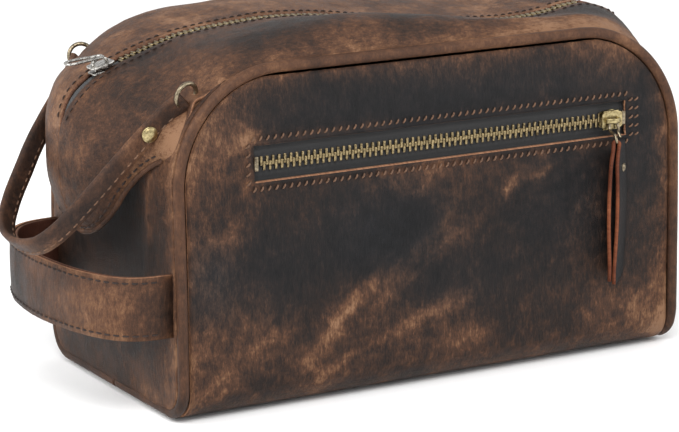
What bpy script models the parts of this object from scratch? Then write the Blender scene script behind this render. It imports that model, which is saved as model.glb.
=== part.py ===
"""Leather shaving kit bag, 10 x 5 x 6 inches, with a zipped top, a zipped front pocket, a wide side
handle and a swinging hanging loop on its left end.

Frame: +X runs to the right along the front, the front looks along -Y, +Z is up.
The origin is under the middle of the bag, on the surface it stands on. Lengths below are in millimetres.
"""
import math

import bmesh
import bpy
from mathutils import Matrix, Vector

MM = 0.001

# ---- driving dimensions (mm) -------------------------------------------------------------
LENGTH = 250.0          # between the piped seams of the two ends
DEPTH = 121.0           # outside of front leather to outside of back leather
SEAM_H = 146.9          # height of the piped seam along the top
CORNER_R = 48.4         # big round top corners of front and back
BEND_R = 13.0           # bend between front and bottom
LEATHER = 1.8           # shell leather thickness
PIPE_R = 2.4            # piping radius
GAP = 0.35              # clearance between touching pieces
MOUTH_X = 96.0          # half length of the part of the top that opens
HINGE_Y, HINGE_Z = 57.0, 147.6      # line that each half of the top folds about
SLOT = (-90.0, 98.5, 99.4, 115.0)   # front pocket slot: x0, x1, z0, z1
TEETH_PITCH = 2.8
HANDLE_W = 27.0         # side handle width
HANDLE_Z = 50.0         # side handle height of its middle
HANDLE_BOW = 41.0       # how far the side handle stands off the end
LOOP_TILT = 44.4        # hanging loop, degrees out from straight down
LOOP_W = 8.8            # hanging loop width
LOOP_T = 2.6            # hanging loop thickness, folded
RING_R, RING_WIRE = 5.6, 0.8
RING_Y = 50.0
RING_BAR = 50.2         # the ring's held side, distance from the corner's centre
TAB_W = 6.0             # width of the tabs that hold the rings
SLIDE_FROM = (-131.0, 144.0)    # main slider at rest, x and z
SLIDE_TO = (121.0, 149.5)       # main slider at the far end

CX = LENGTH / 2 - CORNER_R      # corner centre, x
CZ = SEAM_H - CORNER_R          # corner centre, z
FRONT = DEPTH / 2               # 60.5
WRAP_X = LENGTH / 2 - 2.8       # the wrap stops short of the piping
END_X = LENGTH / 2 + 0.5        # outer face of the end panels
END_Y = FRONT - 3.2             # the end panels stop short of the piping
LOOP_RAD = math.radians(LOOP_TILT)
RADIAL = Vector((-math.cos(LOOP_RAD), 0, math.sin(LOOP_RAD)))     # straight out of the corner at the rings
BAR = Vector((-CX, 0, CZ)) + RADIAL * RING_BAR      # the rings pivot here in their tabs


# ---- scene and helpers -------------------------------------------------------------------
for old in list(bpy.data.objects):
    bpy.data.objects.remove(old, do_unlink=True)

PARTS = bpy.data.collections.new("shaving_kit_bag")
CUTTERS = bpy.data.collections.new("cutters")
bpy.context.scene.collection.children.link(PARTS)
bpy.context.scene.collection.children.link(CUTTERS)


def material(name, colour, roughness, metallic=0.0):
    m = bpy.data.materials.new(name)
    m.use_nodes = True
    b = m.node_tree.nodes["Principled BSDF"]
    b.inputs["Base Color"].default_value = (*colour, 1.0)
    b.inputs["Roughness"].default_value = roughness
    b.inputs["Metallic"].default_value = metallic
    m.diffuse_color = (*colour, 1.0)
    return m


def leather(name):
    return material(name, (0.10, 0.055, 0.035), 0.55)


def brass(name):
    return material(name, (0.36, 0.27, 0.13), 0.35, 1.0)


def cloth(name, colour=(0.012, 0.012, 0.014)):
    return material(name, colour, 0.85)


def add(name, mesh, mat, smooth=True):
    mesh.materials.append(mat)
    if smooth:
        mesh.shade_smooth()
        mesh.set_sharp_from_angle(angle=math.radians(40))
    o = bpy.data.objects.new(name, mesh)
    PARTS.objects.link(o)
    return o


def finish_mesh(bm, name):
    bmesh.ops.recalc_face_normals(bm, faces=bm.faces)
    me = bpy.data.meshes.new(name)
    bm.to_mesh(me)
    bm.free()
    return me


def grid_mesh(name, rows, keep=None, closed=False):
    """A sheet through rows of points (mm). keep(i, j) says which faces are made."""
    bm = bmesh.new()
    v = [[bm.verts.new(Vector(p) * MM) for p in row] for row in rows]
    n = len(rows)
    for i in range(n if closed else n - 1):
        a, b = v[i], v[(i + 1) % n]
        for j in range(len(a) - 1):
            if keep is None or keep(i, j):
                bm.faces.new((a[j], a[j + 1], b[j + 1], b[j]))
    bmesh.ops.delete(bm, geom=[x for x in bm.verts if not x.link_faces], context="VERTS")
    me = bpy.data.meshes.new(name)
    bm.to_mesh(me)
    bm.free()
    return me


def solidify(o, thickness, offset):
    m = o.modifiers.new("Thickness", "SOLIDIFY")
    m.thickness = thickness * MM
    m.offset = offset
    m.use_even_offset = True
    return m


def prism(name, outline, axis, lo, hi, mat=None):
    """A straight solid with this outline (mm), running from lo to hi along axis 'X', 'Y' or 'Z'."""
    put = {
        "X": lambda a, b, c: (c, a, b),
        "Y": lambda a, b, c: (a, c, b),
        "Z": lambda a, b, c: (a, b, c),
    }[axis]
    bm = bmesh.new()
    face = bm.faces.new([bm.verts.new(Vector(put(a, b, lo)) * MM) for a, b in outline])
    out = bmesh.ops.extrude_face_region(bm, geom=[face])
    moved = [g for g in out["geom"] if isinstance(g, bmesh.types.BMVert)]
    bmesh.ops.translate(bm, verts=moved, vec=Vector(put(0, 0, hi - lo)) * MM)
    me = finish_mesh(bm, name)
    if mat is None:
        return me
    return add(name, me, mat)


def cutter(name, mesh):
    o = bpy.data.objects.new(name, mesh)
    CUTTERS.objects.link(o)
    o.hide_render = True
    o.display_type = "WIRE"
    return o


def boolean(o, other, operation):
    m = o.modifiers.new(operation.title(), "BOOLEAN")
    m.operation = operation
    m.object = other
    m.solver = "EXACT"
    return m


def arc(cx, cy, r, a0, a1, n):
    return [
        (cx + r * math.cos(math.radians(a0 + (a1 - a0) * i / n)), cy + r * math.sin(math.radians(a0 + (a1 - a0) * i / n)))
        for i in range(n + 1)
    ]


def box(name, lo, hi, mat, bevel=0.0):
    bm = bmesh.new()
    bmesh.ops.create_cube(bm, size=1.0)
    size = [b - a for a, b in zip(lo, hi)]
    mid = [(a + b) / 2 for a, b in zip(lo, hi)]
    bmesh.ops.transform(bm, verts=bm.verts, matrix=Matrix.Translation(Vector(mid) * MM) @ Matrix.Diagonal((*[s * MM for s in size], 1)))
    o = add(name, finish_mesh(bm, name), mat)
    if bevel:
        m = o.modifiers.new("Edges", "BEVEL")
        m.width = bevel * MM
        m.segments = 2
    return o


def smooth_path(points, n):
    """n + 1 points on a smooth curve through these points, evenly spaced in its parameter."""
    p = [Vector(q) for q in points]
    p = [2 * p[0] - p[1]] + p + [2 * p[-1] - p[-2]]
    spans = len(points) - 1
    out = []
    for i in range(n + 1):
        u = i / n * spans
        k = min(int(u), spans - 1)
        t = u - k
        a, b, c, d = p[k : k + 4]
        out.append(0.5 * (2 * b + (c - a) * t + (2 * a - 5 * b + 4 * c - d) * t * t + (3 * b - a - 3 * c + d) * t**3))
    return out


def tube(name, points, radius, mat, cyclic=False, resolution=2):
    """A round wire or piping along these points (mm)."""
    cu = bpy.data.curves.new(name, "CURVE")
    cu.dimensions = "3D"
    cu.bevel_depth = radius * MM
    cu.bevel_resolution = resolution
    cu.use_fill_caps = not cyclic
    s = cu.splines.new("POLY")
    s.points.add(len(points) - 1)
    for q, p in zip(s.points, points):
        q.co = (*(Vector(p) * MM), 1)
    s.use_cyclic_u = cyclic
    cu.materials.append(mat)
    o = bpy.data.objects.new(name, cu)
    PARTS.objects.link(o)
    return o


def band(name, path, width_dir, width, thickness, mat, offset=0.0):
    """A flat strap that follows a path (mm); width_dir is the direction of its width."""
    w = Vector(width_dir).normalized() * (width / 2)
    rows = [[Vector(p) - w, Vector(p) + w] for p in path]
    o = add(name, grid_mesh(name, rows), mat)
    solidify(o, thickness, offset)
    return o


# ---- body: front, bottom and back are one piece of leather -------------------------------
def wrap_profile(inset):
    f, r = FRONT - inset, BEND_R - inset
    top = SEAM_H - 2.8
    pts = [(-f, top)] + arc(-f + r, inset + r, r, 180, 270, 5) + arc(f - r, inset + r, r, 270, 360, 5) + [(f, top)]
    return pts


rows = [[(x, y, z) for y, z in wrap_profile(0.0)] for x in (-WRAP_X, WRAP_X)]
wrap = add("body_wrap", grid_mesh("body_wrap", rows), leather("leather_body"))
solidify(wrap, LEATHER, -1)
r_in = CORNER_R - 2.8
outline = (
    [(-WRAP_X, -5)]
    + arc(-CX, CZ, r_in, 180, 90, 8)
    + arc(CX, CZ, r_in, 90, 0, 8)
    + [(WRAP_X, -5)]
)
boolean(wrap, cutter("wrap_outline", prism("wrap_outline", outline, "Y", -80, 80)), "INTERSECT")
sx0, sx1, sz0, sz1 = SLOT
boolean(wrap, cutter("slot_cutter", prism("slot_cutter", [(sx0, sz0), (sx1, sz0), (sx1, sz1), (sx0, sz1)], "Y", -70, -50)), "DIFFERENCE")


# ---- end panels: flat side, round top corner --------------------------------------------
def end_panel(name, side):
    r = CORNER_R + 0.5
    prof = [(-END_X, 5.4), (-END_X, 50)] + arc(-CX, CZ, r, 180, 114.8, 8)
    rows = [[(side * -x, y, z) for y in (-END_Y, END_Y)] for x, z in prof]
    o = add(name, grid_mesh(name, rows), leather("leather_" + name))
    solidify(o, LEATHER, -1 if side > 0 else 1)
    rr = BEND_R - 3.0
    outline = arc(-END_Y + rr, 5.4 + rr, rr, 180, 270, 5) + arc(END_Y - rr, 5.4 + rr, rr, 270, 360, 5) + [(END_Y, 160), (-END_Y, 160)]
    boolean(o, cutter(name + "_outline", prism(name + "_outline", outline, "X", side * 125 - 60, side * 125 + 60)), "INTERSECT")
    return o


end_panel("end_panel_left", -1)
end_panel("end_panel_right", 1)


# ---- piping: one cord round the front, one round the back, meeting under the ends --------
def piping(name, s):
    y, x, r = s * (FRONT - 0.5), LENGTH / 2 + 0.1, BEND_R - 0.5
    low = PIPE_R + 0.1
    side = [(0.4 * s, low), (s * 20, low)] + [
        (s * (FRONT - 0.5 - r + r * math.sin(math.radians(a))), low + r - r * math.cos(math.radians(a))) for a in (0, 18, 36, 54, 72, 90)
    ]
    left = [(-x, a, b) for a, b in side]
    top = [(a, y, b) for a, b in arc(-CX, CZ, CORNER_R + 0.1, 180, 90, 9)] + [(a, y, b) for a, b in arc(CX, CZ, CORNER_R + 0.1, 90, 0, 9)]
    right = [(x, a, b) for a, b in reversed(side)]
    return tube(name, left + top + right, PIPE_R, material("leather_" + name, (0.22, 0.115, 0.06), 0.5))


piping("piping_front", -1)
piping("piping_back", 1)


# ---- top: heights of the two halves and of the zip line between them ---------------------
def bump(x, centre, width):
    return math.exp(-(((x - centre) / width) ** 2))


def seam_z(x):
    over = abs(x) - CX
    return SEAM_H + 0.3 if over <= 0 else CZ + math.sqrt((CORNER_R + 0.3) ** 2 - over**2)


def zip_z(x):
    return 147.5 + 10.5 * bump(x, -50, 55)


def crest_z(x):
    return 147.3 + 9.5 * bump(x, 8, 65)


def top_z(x, y):
    """Height of the top leather: from the seam over a soft crest to the zip."""
    a, b, c = END_Y, 42.0, 0.0
    za, zb, zc = seam_z(x), crest_z(x), zip_z(x)
    y = abs(y)
    return (
        za * (y - b) * (y - c) / ((a - b) * (a - c))
        + zb * (y - a) * (y - c) / ((b - a) * (b - c))
        + zc * (y - a) * (y - b) / ((c - a) * (c - b))
    )


XS = [MOUTH_X * (-1 + 2 * i / 16) for i in range(17)]


def top_half(name, s):
    ys = [s * v for v in (END_Y - 0.2, 50, 42, 32, 21, 12, 5.0)]
    rows = [[(x, y, top_z(x, y)) for y in ys] for x in XS]
    o = add(name, grid_mesh(name, rows), leather("leather_" + name))
    solidify(o, LEATHER, 1 if s < 0 else -1)
    return o


def main_tape(name, s):
    ys = [s * v for v in (13.0, 7.0, 1.9)]
    rows = [[(x, y, top_z(x, y) - LEATHER - GAP - 0.2) for y in ys] for x in XS]
    o = add(name, grid_mesh(name, rows), cloth("tape_" + name))
    solidify(o, 0.8, 1 if s < 0 else -1)
    return o


def main_teeth(name, s):
    """A row of brass teeth on the tape's edge, made as one strip."""
    rows = []
    for x in XS:
        z = top_z(x, 0) - 1.5
        rows.append([(x, s * 0.2, z), (x, s * 1.55, z)] if s < 0 else [(x, s * 1.55, z), (x, s * 0.2, z)])
    o = add(name, grid_mesh(name, rows), brass("brass_" + name))
    solidify(o, 2.2, 0)
    return o


top_half("top_panel_front", -1)
top_half("top_panel_back", 1)
main_tape("main_tape_front", -1)
main_tape("main_tape_back", 1)
main_teeth("main_teeth_front", -1)
main_teeth("main_teeth_back", 1)


# ---- zip tabs: the leather past each end of the mouth, hanging down as a tongue ----------
def zip_tab(name, side, spine, slot_rows):
    """spine: (x, z, half width, drop of the side edge below the ridge) from the mouth to the tongue's tip."""
    path = smooth_path([(x, z, 0) for x, z, _, _ in spine], 20)
    shape = smooth_path([(w, d, 0) for _, _, w, d in spine], 20)
    rows = []
    for i, (p, q) in enumerate(zip(path, shape)):
        nxt, prv = path[min(i + 1, 20)], path[max(i - 1, 0)]
        t = (nxt - prv).normalized()
        n = Vector((-t.y, t.x))  # towards the bag
        w, d = q.x, q.y
        slot = min(6.6, 0.8 * w)
        cols = [-w, -0.72 * w, -0.45 * w, -slot, slot, 0.45 * w, 0.72 * w, w] if 0.45 * w > slot + 0.5 else [-w, -0.85 * w, -0.7 * w, -slot * 0.75, slot * 0.75, 0.7 * w, 0.85 * w, w]
        row = []
        for y in cols:
            k = d * (abs(y) / w) ** 1.6
            row.append((side * -(p.x + n.x * k), y, p.y + n.y * k))
        rows.append(row)
    o = add(name, grid_mesh(name, rows, keep=lambda i, j: not (j == 3 and i < slot_rows)), leather("leather_" + name))
    solidify(o, LEATHER, 1 if side > 0 else -1)
    return o


LEFT_SPINE = [
    (-99.0, 152.0, 56.0, 7.0),
    (-107, 150.6, 40.0, 8.0),
    (-121, 146.8, 36.5, 9.0),
    (-133, 141.6, 34.5, 10.0),
    (-143, 134.0, 32.5, 11.5),
    (-150, 122.0, 30.5, 12.0),
    (-152, 108.0, 29.5, 11.5),
    (-150.5, 93.0, 28.0, 9.0),
    (-146, 81.0, 20.0, 5.0),
    (-142, 74.0, 8.0, 1.5),
]
RIGHT_SPINE = [
    (-99.0, 150.4, 56.0, 5.4),
    (-109, 150.4, 44.0, 7.0),
    (-120, 148.4, 40.0, 8.5),
    (-130, 144.4, 36.0, 9.0),
    (-138, 138.0, 33.0, 8.5),
    (-142, 130.5, 31.0, 7.5),
    (-141.5, 117.0, 29.5, 6.5),
    (-139, 102.0, 28.0, 5.0),
    (-135.5, 89.0, 20.0, 3.0),
    (-133, 81.0, 8.0, 1.0),
]
zip_tab("zip_tab_left", -1, LEFT_SPINE, 9)
zip_tab("zip_tab_right", 1, RIGHT_SPINE, 7)


# ---- main slider and its pull ------------------------------------------------------------
slide = Vector((SLIDE_TO[0] - SLIDE_FROM[0], 0, SLIDE_TO[1] - SLIDE_FROM[1]))
SLIDE_LEN = slide.length
tilt = Matrix.Translation(Vector((SLIDE_FROM[0], 0, SLIDE_FROM[1])) * MM) @ Matrix.Rotation(-math.atan2(slide.z, slide.x), 4, "Y")


def joined(name, shapes, mat, matrix=None):
    """One body from overlapping shapes (mm): boxes ('box', lo, hi) and tubes are united."""
    base = None
    for k, (lo, hi) in enumerate(shapes):
        bm = bmesh.new()
        bmesh.ops.create_cube(bm, size=1.0)
        size = [b - a for a, b in zip(lo, hi)]
        mid = [(a + b) / 2 for a, b in zip(lo, hi)]
        bmesh.ops.transform(bm, verts=bm.verts, matrix=Matrix.Translation(Vector(mid) * MM) @ Matrix.Diagonal((*[s * MM for s in size], 1)))
        me = finish_mesh(bm, f"{name}_{k}")
        if base is None:
            base = add(name, me, mat)
        else:
            c = cutter(f"{name}_{k}", me)
            if matrix is not None:
                c.matrix_world = matrix
            boolean(base, c, "UNION")
    if matrix is not None:
        base.matrix_world = matrix
    return base


# top plate, bottom plate, bridge between them at the closing end, and the bail over the top plate
main_slider = joined(
    "main_slider",
    [
        ((-6.0, -4.6, 1.4), (6.0, 4.6, 2.7)),
        ((-6.0, -4.6, -3.2), (6.0, 4.6, -1.9)),
        ((-5.8, -0.8, -2.5), (-3.4, 0.8, 2.0)),
        ((-3.6, -1.1, 2.4), (-2.4, 1.1, 5.6)),
        ((2.4, -1.1, 2.4), (3.6, 1.1, 5.6)),
        ((-3.6, -1.1, 4.8), (3.6, 1.1, 5.8)),
    ],
    brass("brass_main_slider"),
    tilt,
)
PULL_AT = Vector((SLIDE_FROM[0], 0, SLIDE_FROM[1] + 3.75))  # pivot of the main pull, under the bail
rest_dir = Vector((-0.995, 0, -0.02)).normalized()
up_dir = Vector((-rest_dir.z, 0, rest_dir.x))
if up_dir.z < 0:
    up_dir = -up_dir


def main_pull():
    """A small frame pull: a wire frame round the bail that widens to a short tab."""
    pts = []
    for u, v in [(0.0, 0.6), (0.0, 1.6), (2.0, 3.1), (10.0, 3.4), (14.0, 2.6), (15.4, 0.9), (15.4, -0.9), (14.0, -2.6), (10.0, -3.4), (2.0, -3.1), (0.0, -1.6), (0.0, -0.6)]:
        lift = -0.20 * max(0.0, u - 7.5)
        pts.append(PULL_AT + rest_dir * u + Vector((0, v, 0)) + up_dir * lift)
    return tube("main_pull", pts, 0.65, brass("brass_main_pull"), cyclic=True, resolution=1)


main_pull()


# ---- front pocket: tapes, teeth, stops, slider, pull --------------------------------------
mid = (sz0 + sz1) / 2
y_in = -(FRONT - LEATHER)  # inner face of the front leather, -58.7
black = cloth("tape_pocket")
box("pocket_tape_upper", (sx0 - 4, y_in + GAP, mid + 0.9), (sx1 + 4, y_in + GAP + 0.7, sz1 + 6), black)
box("pocket_tape_lower", (sx0 - 4, y_in + GAP, sz0 - 6), (sx1 + 4, y_in + GAP + 0.7, mid - 0.9), cloth("tape_pocket_lower"))
brass_row = brass("brass_pocket_teeth")
TEETH_Y = (y_in - 1.1, y_in + 0.05)
box("pocket_teeth_upper", (sx0 + 1.5, TEETH_Y[0], mid + 0.15), (sx1 - 1.5, TEETH_Y[1], mid + 3.4), brass_row)
box("pocket_teeth_lower", (sx0 + 1.5, TEETH_Y[0], mid - 3.4), (sx1 - 1.5, TEETH_Y[1], mid - 0.15), brass("brass_pocket_teeth_lower"))
box("pocket_stop_left", (sx0 + 0.3, TEETH_Y[0], mid - 2.6), (sx0 + 1.2, TEETH_Y[1], mid + 2.6), brass("brass_pocket_stop_left"))
box("pocket_stop_right", (sx1 - 1.2, TEETH_Y[0], mid - 2.6), (sx1 - 0.3, TEETH_Y[1], mid + 2.6), brass("brass_pocket_stop_right"))

PS_X = sx1 - 8.5          # pocket slider at rest
PS_Y = TEETH_Y[0] - 0.4   # its back face, just in front of the teeth
pocket_slider = joined(
    "pocket_slider",
    [
        ((PS_X - 5.5, PS_Y - 1.6, mid - 4.6), (PS_X + 5.5, PS_Y, mid + 4.6)),
        ((PS_X - 0.9, PS_Y - 4.6, mid + 2.2), (PS_X + 0.9, PS_Y - 1.2, mid + 3.5)),
        ((PS_X - 0.9, PS_Y - 4.6, mid - 4.3), (PS_X + 0.9, PS_Y - 1.2, mid - 3.0)),
        ((PS_X - 0.9, PS_Y - 4.8, mid - 4.3), (PS_X + 0.9, PS_Y - 3.6, mid + 3.5)),
    ],
    brass("brass_pocket_slider"),
)
PP = Vector((PS_X, PS_Y - 2.6, mid - 0.6))  # pivot of the pull: the wire passes under the bail


def pull_wire():
    pts = []
    for u, w in [(0, 0), (2.2, -0.3), (3.2, -2.2), (4.2, -5.2), (4.9, -7.6), (4.3, -8.6), (0, -8.6), (-4.3, -8.6), (-4.9, -7.6), (-4.2, -5.2), (-3.2, -2.2), (-2.2, -0.3)]:
        turn = TWIST * min(1.0, -w / 8.0)
        pts.append(PP + Vector((u * math.cos(turn), u * math.sin(turn) - PULL_OUT * min(1.0, -w / 6.0), w)))
    return tube("pocket_pull_wire", pts, 0.6, brass("brass_pocket_pull_wire"), cyclic=True, resolution=1)


TWIST = math.radians(38)  # the pull hangs turned a little to the right
PULL_OUT = 4.8            # how far it stands forward of its pivot
pull_wire()
pull_w = Vector((math.cos(TWIST), math.sin(TWIST), 0))
pull_n = Vector((math.sin(TWIST), -math.cos(TWIST), 0))
hang = PP + Vector((0, -PULL_OUT, -8.6))  # bottom of the wire


def pull_leather():
    """One strip folded over the wire, its two ends hanging together."""
    side = [(-2.1, -62.0), (-1.7, -46.0), (-1.45, -30.0), (-1.35, -14.0), (-1.7, -4.0), (-1.6, 0.5), (-0.9, 1.5), (0.0, 1.8)]
    prof = side + [(-a, b) for a, b in reversed(side[:-1])]
    rows = []
    for a, b in prof:
        c = hang + pull_n * a + Vector((0, 0, b))
        hw = 5.8 if b < -6 else 3.1
        rows.append([c - pull_w * hw, c + pull_w * hw])
    o = add("pocket_pull_leather", grid_mesh("pocket_pull_leather", rows), material("leather_pull", (0.30, 0.11, 0.055), 0.55))
    solidify(o, 1.5, 0)
    return o


pull_leather()


def disc(name, centre, normal, radius, height, mat, dome=0.0):
    """A rivet cap: a turned profile, flat below and domed above."""
    me = bpy.data.meshes.new(name)
    bm = bmesh.new()
    prof = [(0.0, height + dome), (radius * 0.55, height + dome * 0.8), (radius * 0.9, height + dome * 0.25), (radius, height * 0.5), (radius * 0.96, 0.0), (0.0, 0.0)]
    vs = [bm.verts.new(Vector((a, 0, b)) * MM) for a, b in prof]
    for a, b in zip(vs, vs[1:]):
        bm.edges.new((a, b))
    bm.to_mesh(me)
    bm.free()
    o = add(name, me, mat)
    m = o.modifiers.new("Turn", "SCREW")
    m.steps = m.render_steps = 14
    m.use_merge_vertices = True
    m.merge_threshold = 0.00005
    m.use_smooth_shade = True
    o.matrix_world = Matrix.Translation(Vector(centre) * MM) @ Vector(normal).to_track_quat("Z", "Y").to_matrix().to_4x4()
    return o


face = hang + Vector((0, 0, -11.0)) + pull_n * (1.4 + 0.75 + GAP)
disc("pocket_pull_rivet", face, pull_n, 2.4, 0.5, brass("brass_pull_rivet"), 0.5)


# ---- pocket bag and lining ---------------------------------------------------------------
def pocket_bag():
    y0, y1 = y_in + GAP + 0.7 + GAP, y_in + 8.2
    z0, z1 = 28.0, sz1 + 7
    bm = bmesh.new()
    bmesh.ops.create_cube(bm, size=1.0)
    lo, hi = Vector((sx0 - 6, y0, z0)), Vector((sx1 + 6, y1, z1))
    bmesh.ops.transform(bm, verts=bm.verts, matrix=Matrix.Translation((lo + hi) / 2 * MM) @ Matrix.Diagonal((*((hi - lo) * MM), 1)))
    o = add("pocket_bag", finish_mesh(bm, "pocket_bag"), cloth("fabric_pocket", (0.03, 0.025, 0.02)))
    inner = prism("pocket_inside", [(sx0 - 5.4, y0 + 0.6), (sx1 + 5.4, y0 + 0.6), (sx1 + 5.4, y1 - 0.6), (sx0 - 5.4, y1 - 0.6)], "Z", z0 + 0.6, z1 - 0.6)
    boolean(o, cutter("pocket_inside", inner), "DIFFERENCE")
    mouth = prism("pocket_mouth", [(sx0 + 1, sz0 + 0.5), (sx1 - 1, sz0 + 0.5), (sx1 - 1, sz1 - 0.5), (sx0 + 1, sz1 - 0.5)], "Y", y0 - 3, y0 + 3)
    boolean(o, cutter("pocket_mouth", mouth), "DIFFERENCE")
    return o


pocket_bag()


def lining():
    x1, y0, y1, z0, top = 122.4, y_in + 8.7, FRONT - LEATHER - 0.6, LEATHER + 0.6, 139.0
    o = box("lining", (-x1, y0, z0), (x1, y1, top + 12), cloth("fabric_lining", (0.05, 0.04, 0.03)))
    inner = prism("lining_inside", [(-x1 + 0.7, y0 + 0.7), (x1 - 0.7, y0 + 0.7), (x1 - 0.7, y1 - 0.7), (-x1 + 0.7, y1 - 0.7)], "Z", z0 + 0.7, top + 40)
    boolean(o, cutter("lining_inside", inner), "DIFFERENCE")
    r = CORNER_R - 2.2
    outline = [(-x1 - 1, -5)] + arc(-CX, CZ - 5, r, 180, 90, 8) + arc(CX, CZ - 5, r, 90, 0, 8) + [(x1 + 1, -5)]
    boolean(o, cutter("lining_outline", prism("lining_outline", outline, "Y", -80, 80)), "INTERSECT")
    rr = BEND_R + 1.0
    yy0, yy1 = y0 - 1, y1 + 0.01
    section = [(yy0, 200), (yy0, 0)] + arc(yy1 - rr + 0.6, z0 + rr - 0.6, rr, 270, 360, 6) + [(yy1 + 0.6, 200)]
    boolean(o, cutter("lining_section", prism("lining_section", section, "X", -140, 140)), "INTERSECT")
    return o


lining()


# ---- side handle: two layers, sewn into the front and back seams of the left end ---------
def bow(offset):
    pts = []
    for i in range(25):
        t = math.pi * i / 24
        c, s = math.cos(t), math.sin(t)
        y = -(END_Y - 0.9 - offset) * math.copysign(abs(c) ** 0.80, c)
        x = -(END_X + 1.1) - (HANDLE_BOW - offset) * s**0.80
        pts.append((x, y, HANDLE_Z + 1.5 * s))
    return pts


band("side_handle_outer", bow(0.0), (0, 0, 1), HANDLE_W, 1.4, leather("leather_handle"), 0)
band("side_handle_inner", bow(1.9), (0, 0, 1), HANDLE_W - 1.0, 1.3, leather("leather_handle_inner"), 0)


# ---- hanging loop: strap, two rings, two rivets, and the tabs that hold the rings --------
down = Vector((-math.sin(LOOP_RAD), 0, -math.cos(LOOP_RAD)))
ring_centre = BAR + RADIAL * RING_R
start_y = RING_Y - RING_R - RING_WIRE - GAP - LOOP_T / 2  # the strap's ends lie against the rings' inner sides
LOOP = [
    (-3.0, -start_y), (10, -start_y), (30, -42.8), (50, -42.2), (66, -41.0), (77, -37.5), (85, -30.0), (88, -20.0),
    (87, -9.0), (80, 4.0), (70, 17.0), (60, 28.0), (48, 35.0), (32, 39.0), (10, start_y), (-3.0, start_y),
]
loop_path = smooth_path([ring_centre + down * s + Vector((0, y, 0)) for s, y in LOOP], 36)
band("loop_strap", loop_path, RADIAL, LOOP_W, LOOP_T, leather("leather_loop"), 0)


def ring(name, s):
    c = ring_centre + Vector((0, s * RING_Y, 0))
    pts = [c + RADIAL * (RING_R * math.cos(a)) + Vector((0, RING_R * math.sin(a), 0)) for a in [2 * math.pi * k / 16 for k in range(16)]]
    return tube(name, pts, RING_WIRE, brass("brass_" + name), cyclic=True, resolution=1)


ring("loop_ring_front", -1)
ring("loop_ring_back", 1)


def loop_rivet(name, k, out):
    p, q = loop_path[k], loop_path[k + 1]
    t = (q - p).normalized()
    n = t.cross(RADIAL).normalized()
    if n.y * out < 0:
        n = -n
    disc(name, (p + q) / 2 + n * (LOOP_T / 2 + GAP), n, 3.1, 0.7, brass("brass_" + name), 1.0)


loop_rivet("loop_rivet_front", 4, -1)
loop_rivet("loop_rivet_back", 31, 1)


def ring_tab(name, s):
    """A strip down the end panel that passes over the ring's inner side and holds it."""
    at = 180 - math.degrees(math.atan2(RADIAL.z, -RADIAL.x))
    low = CORNER_R + 0.5 + GAP + 0.6
    path = [(164, low), (158, low), (152, low), (146, low), (at + 4.6, low)]
    path += [(at + 3.2, low + 1.4), (at + 2.3, 52.7), (at + 0.9, 53.3), (at - 0.9, 53.3), (at - 2.3, 52.7), (at - 3.2, low + 1.4)]
    path += [(at - 4.6, low), (at - 7.5, low)]
    rows = []
    for a, r in path:
        ca, sa = math.cos(math.radians(a)), math.sin(math.radians(a))
        rows.append([(-CX + r * ca, s * RING_Y + y, CZ + r * sa) for y in (-TAB_W / 2, TAB_W / 2)])
    o = add(name, grid_mesh(name, rows), material("leather_" + name, (0.24, 0.13, 0.07), 0.5))
    solidify(o, 1.2, 0)
    return o


ring_tab("ring_tab_front", -1)
ring_tab("ring_tab_back", 1)



# ---- origins of the moving pieces on their joints ----------------------------------------
def set_origin(names, point):
    p = Vector(point) * MM
    for n in names:
        o = bpy.data.objects[n]
        shift = o.matrix_world.inverted() @ p
        o.data.transform(Matrix.Translation(-shift))
        o.matrix_world = o.matrix_world @ Matrix.Translation(shift)


set_origin(["top_panel_front", "main_tape_front", "main_teeth_front"], (0, -HINGE_Y, HINGE_Z))
set_origin(["top_panel_back", "main_tape_back", "main_teeth_back"], (0, HINGE_Y, HINGE_Z))
set_origin(["main_pull"], PULL_AT)
set_origin(["pocket_pull_wire", "pocket_pull_leather"], PP)
set_origin(["loop_ring_front", "loop_ring_back"], BAR)
set_origin(["loop_strap"], ring_centre)

bpy.context.view_layer.update()
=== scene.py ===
"""Looks of the leather shaving kit bag: every visible piece, its material, the camera and the light."""

import math

import bmesh
import bpy
import numpy as np
from mathutils import Matrix, Vector


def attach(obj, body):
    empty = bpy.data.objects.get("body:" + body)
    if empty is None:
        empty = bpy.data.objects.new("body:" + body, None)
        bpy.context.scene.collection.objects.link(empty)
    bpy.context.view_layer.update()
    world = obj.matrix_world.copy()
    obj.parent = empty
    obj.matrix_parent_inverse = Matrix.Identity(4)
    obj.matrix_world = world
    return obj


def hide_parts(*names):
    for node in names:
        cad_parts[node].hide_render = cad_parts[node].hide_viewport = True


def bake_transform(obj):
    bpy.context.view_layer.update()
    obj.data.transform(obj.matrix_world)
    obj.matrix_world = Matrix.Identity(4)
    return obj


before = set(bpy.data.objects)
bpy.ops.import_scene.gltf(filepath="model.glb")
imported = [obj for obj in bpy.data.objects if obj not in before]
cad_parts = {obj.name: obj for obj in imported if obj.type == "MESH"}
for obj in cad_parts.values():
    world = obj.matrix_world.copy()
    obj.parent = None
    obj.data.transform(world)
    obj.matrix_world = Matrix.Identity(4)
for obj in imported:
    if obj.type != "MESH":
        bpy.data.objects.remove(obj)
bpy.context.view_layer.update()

MM = 0.001
CX, CZ, CR = 76.6, 98.3, 48.4      # corner centre of the piped outline, and its radius
SEAM_H = 146.7
HINGE_Y = 57.0
MOUTH = 97.0
SLOT = (-90.0, 98.5, 99.4, 115.0)


# ---- noise and curves ---------------------------------------------------------------------
def hash3(a, b, c, seed):
    n = (a * 73856093) ^ (b * 19349663) ^ (c * 83492791) ^ (seed * 2654435)
    n = (n ^ (n >> 13)) * 1274126177
    n = n & 0x7FFFFFFF
    n = n ^ (n >> 15)
    return (n & 0xFFFF) / 65535.0 * 2 - 1


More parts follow.
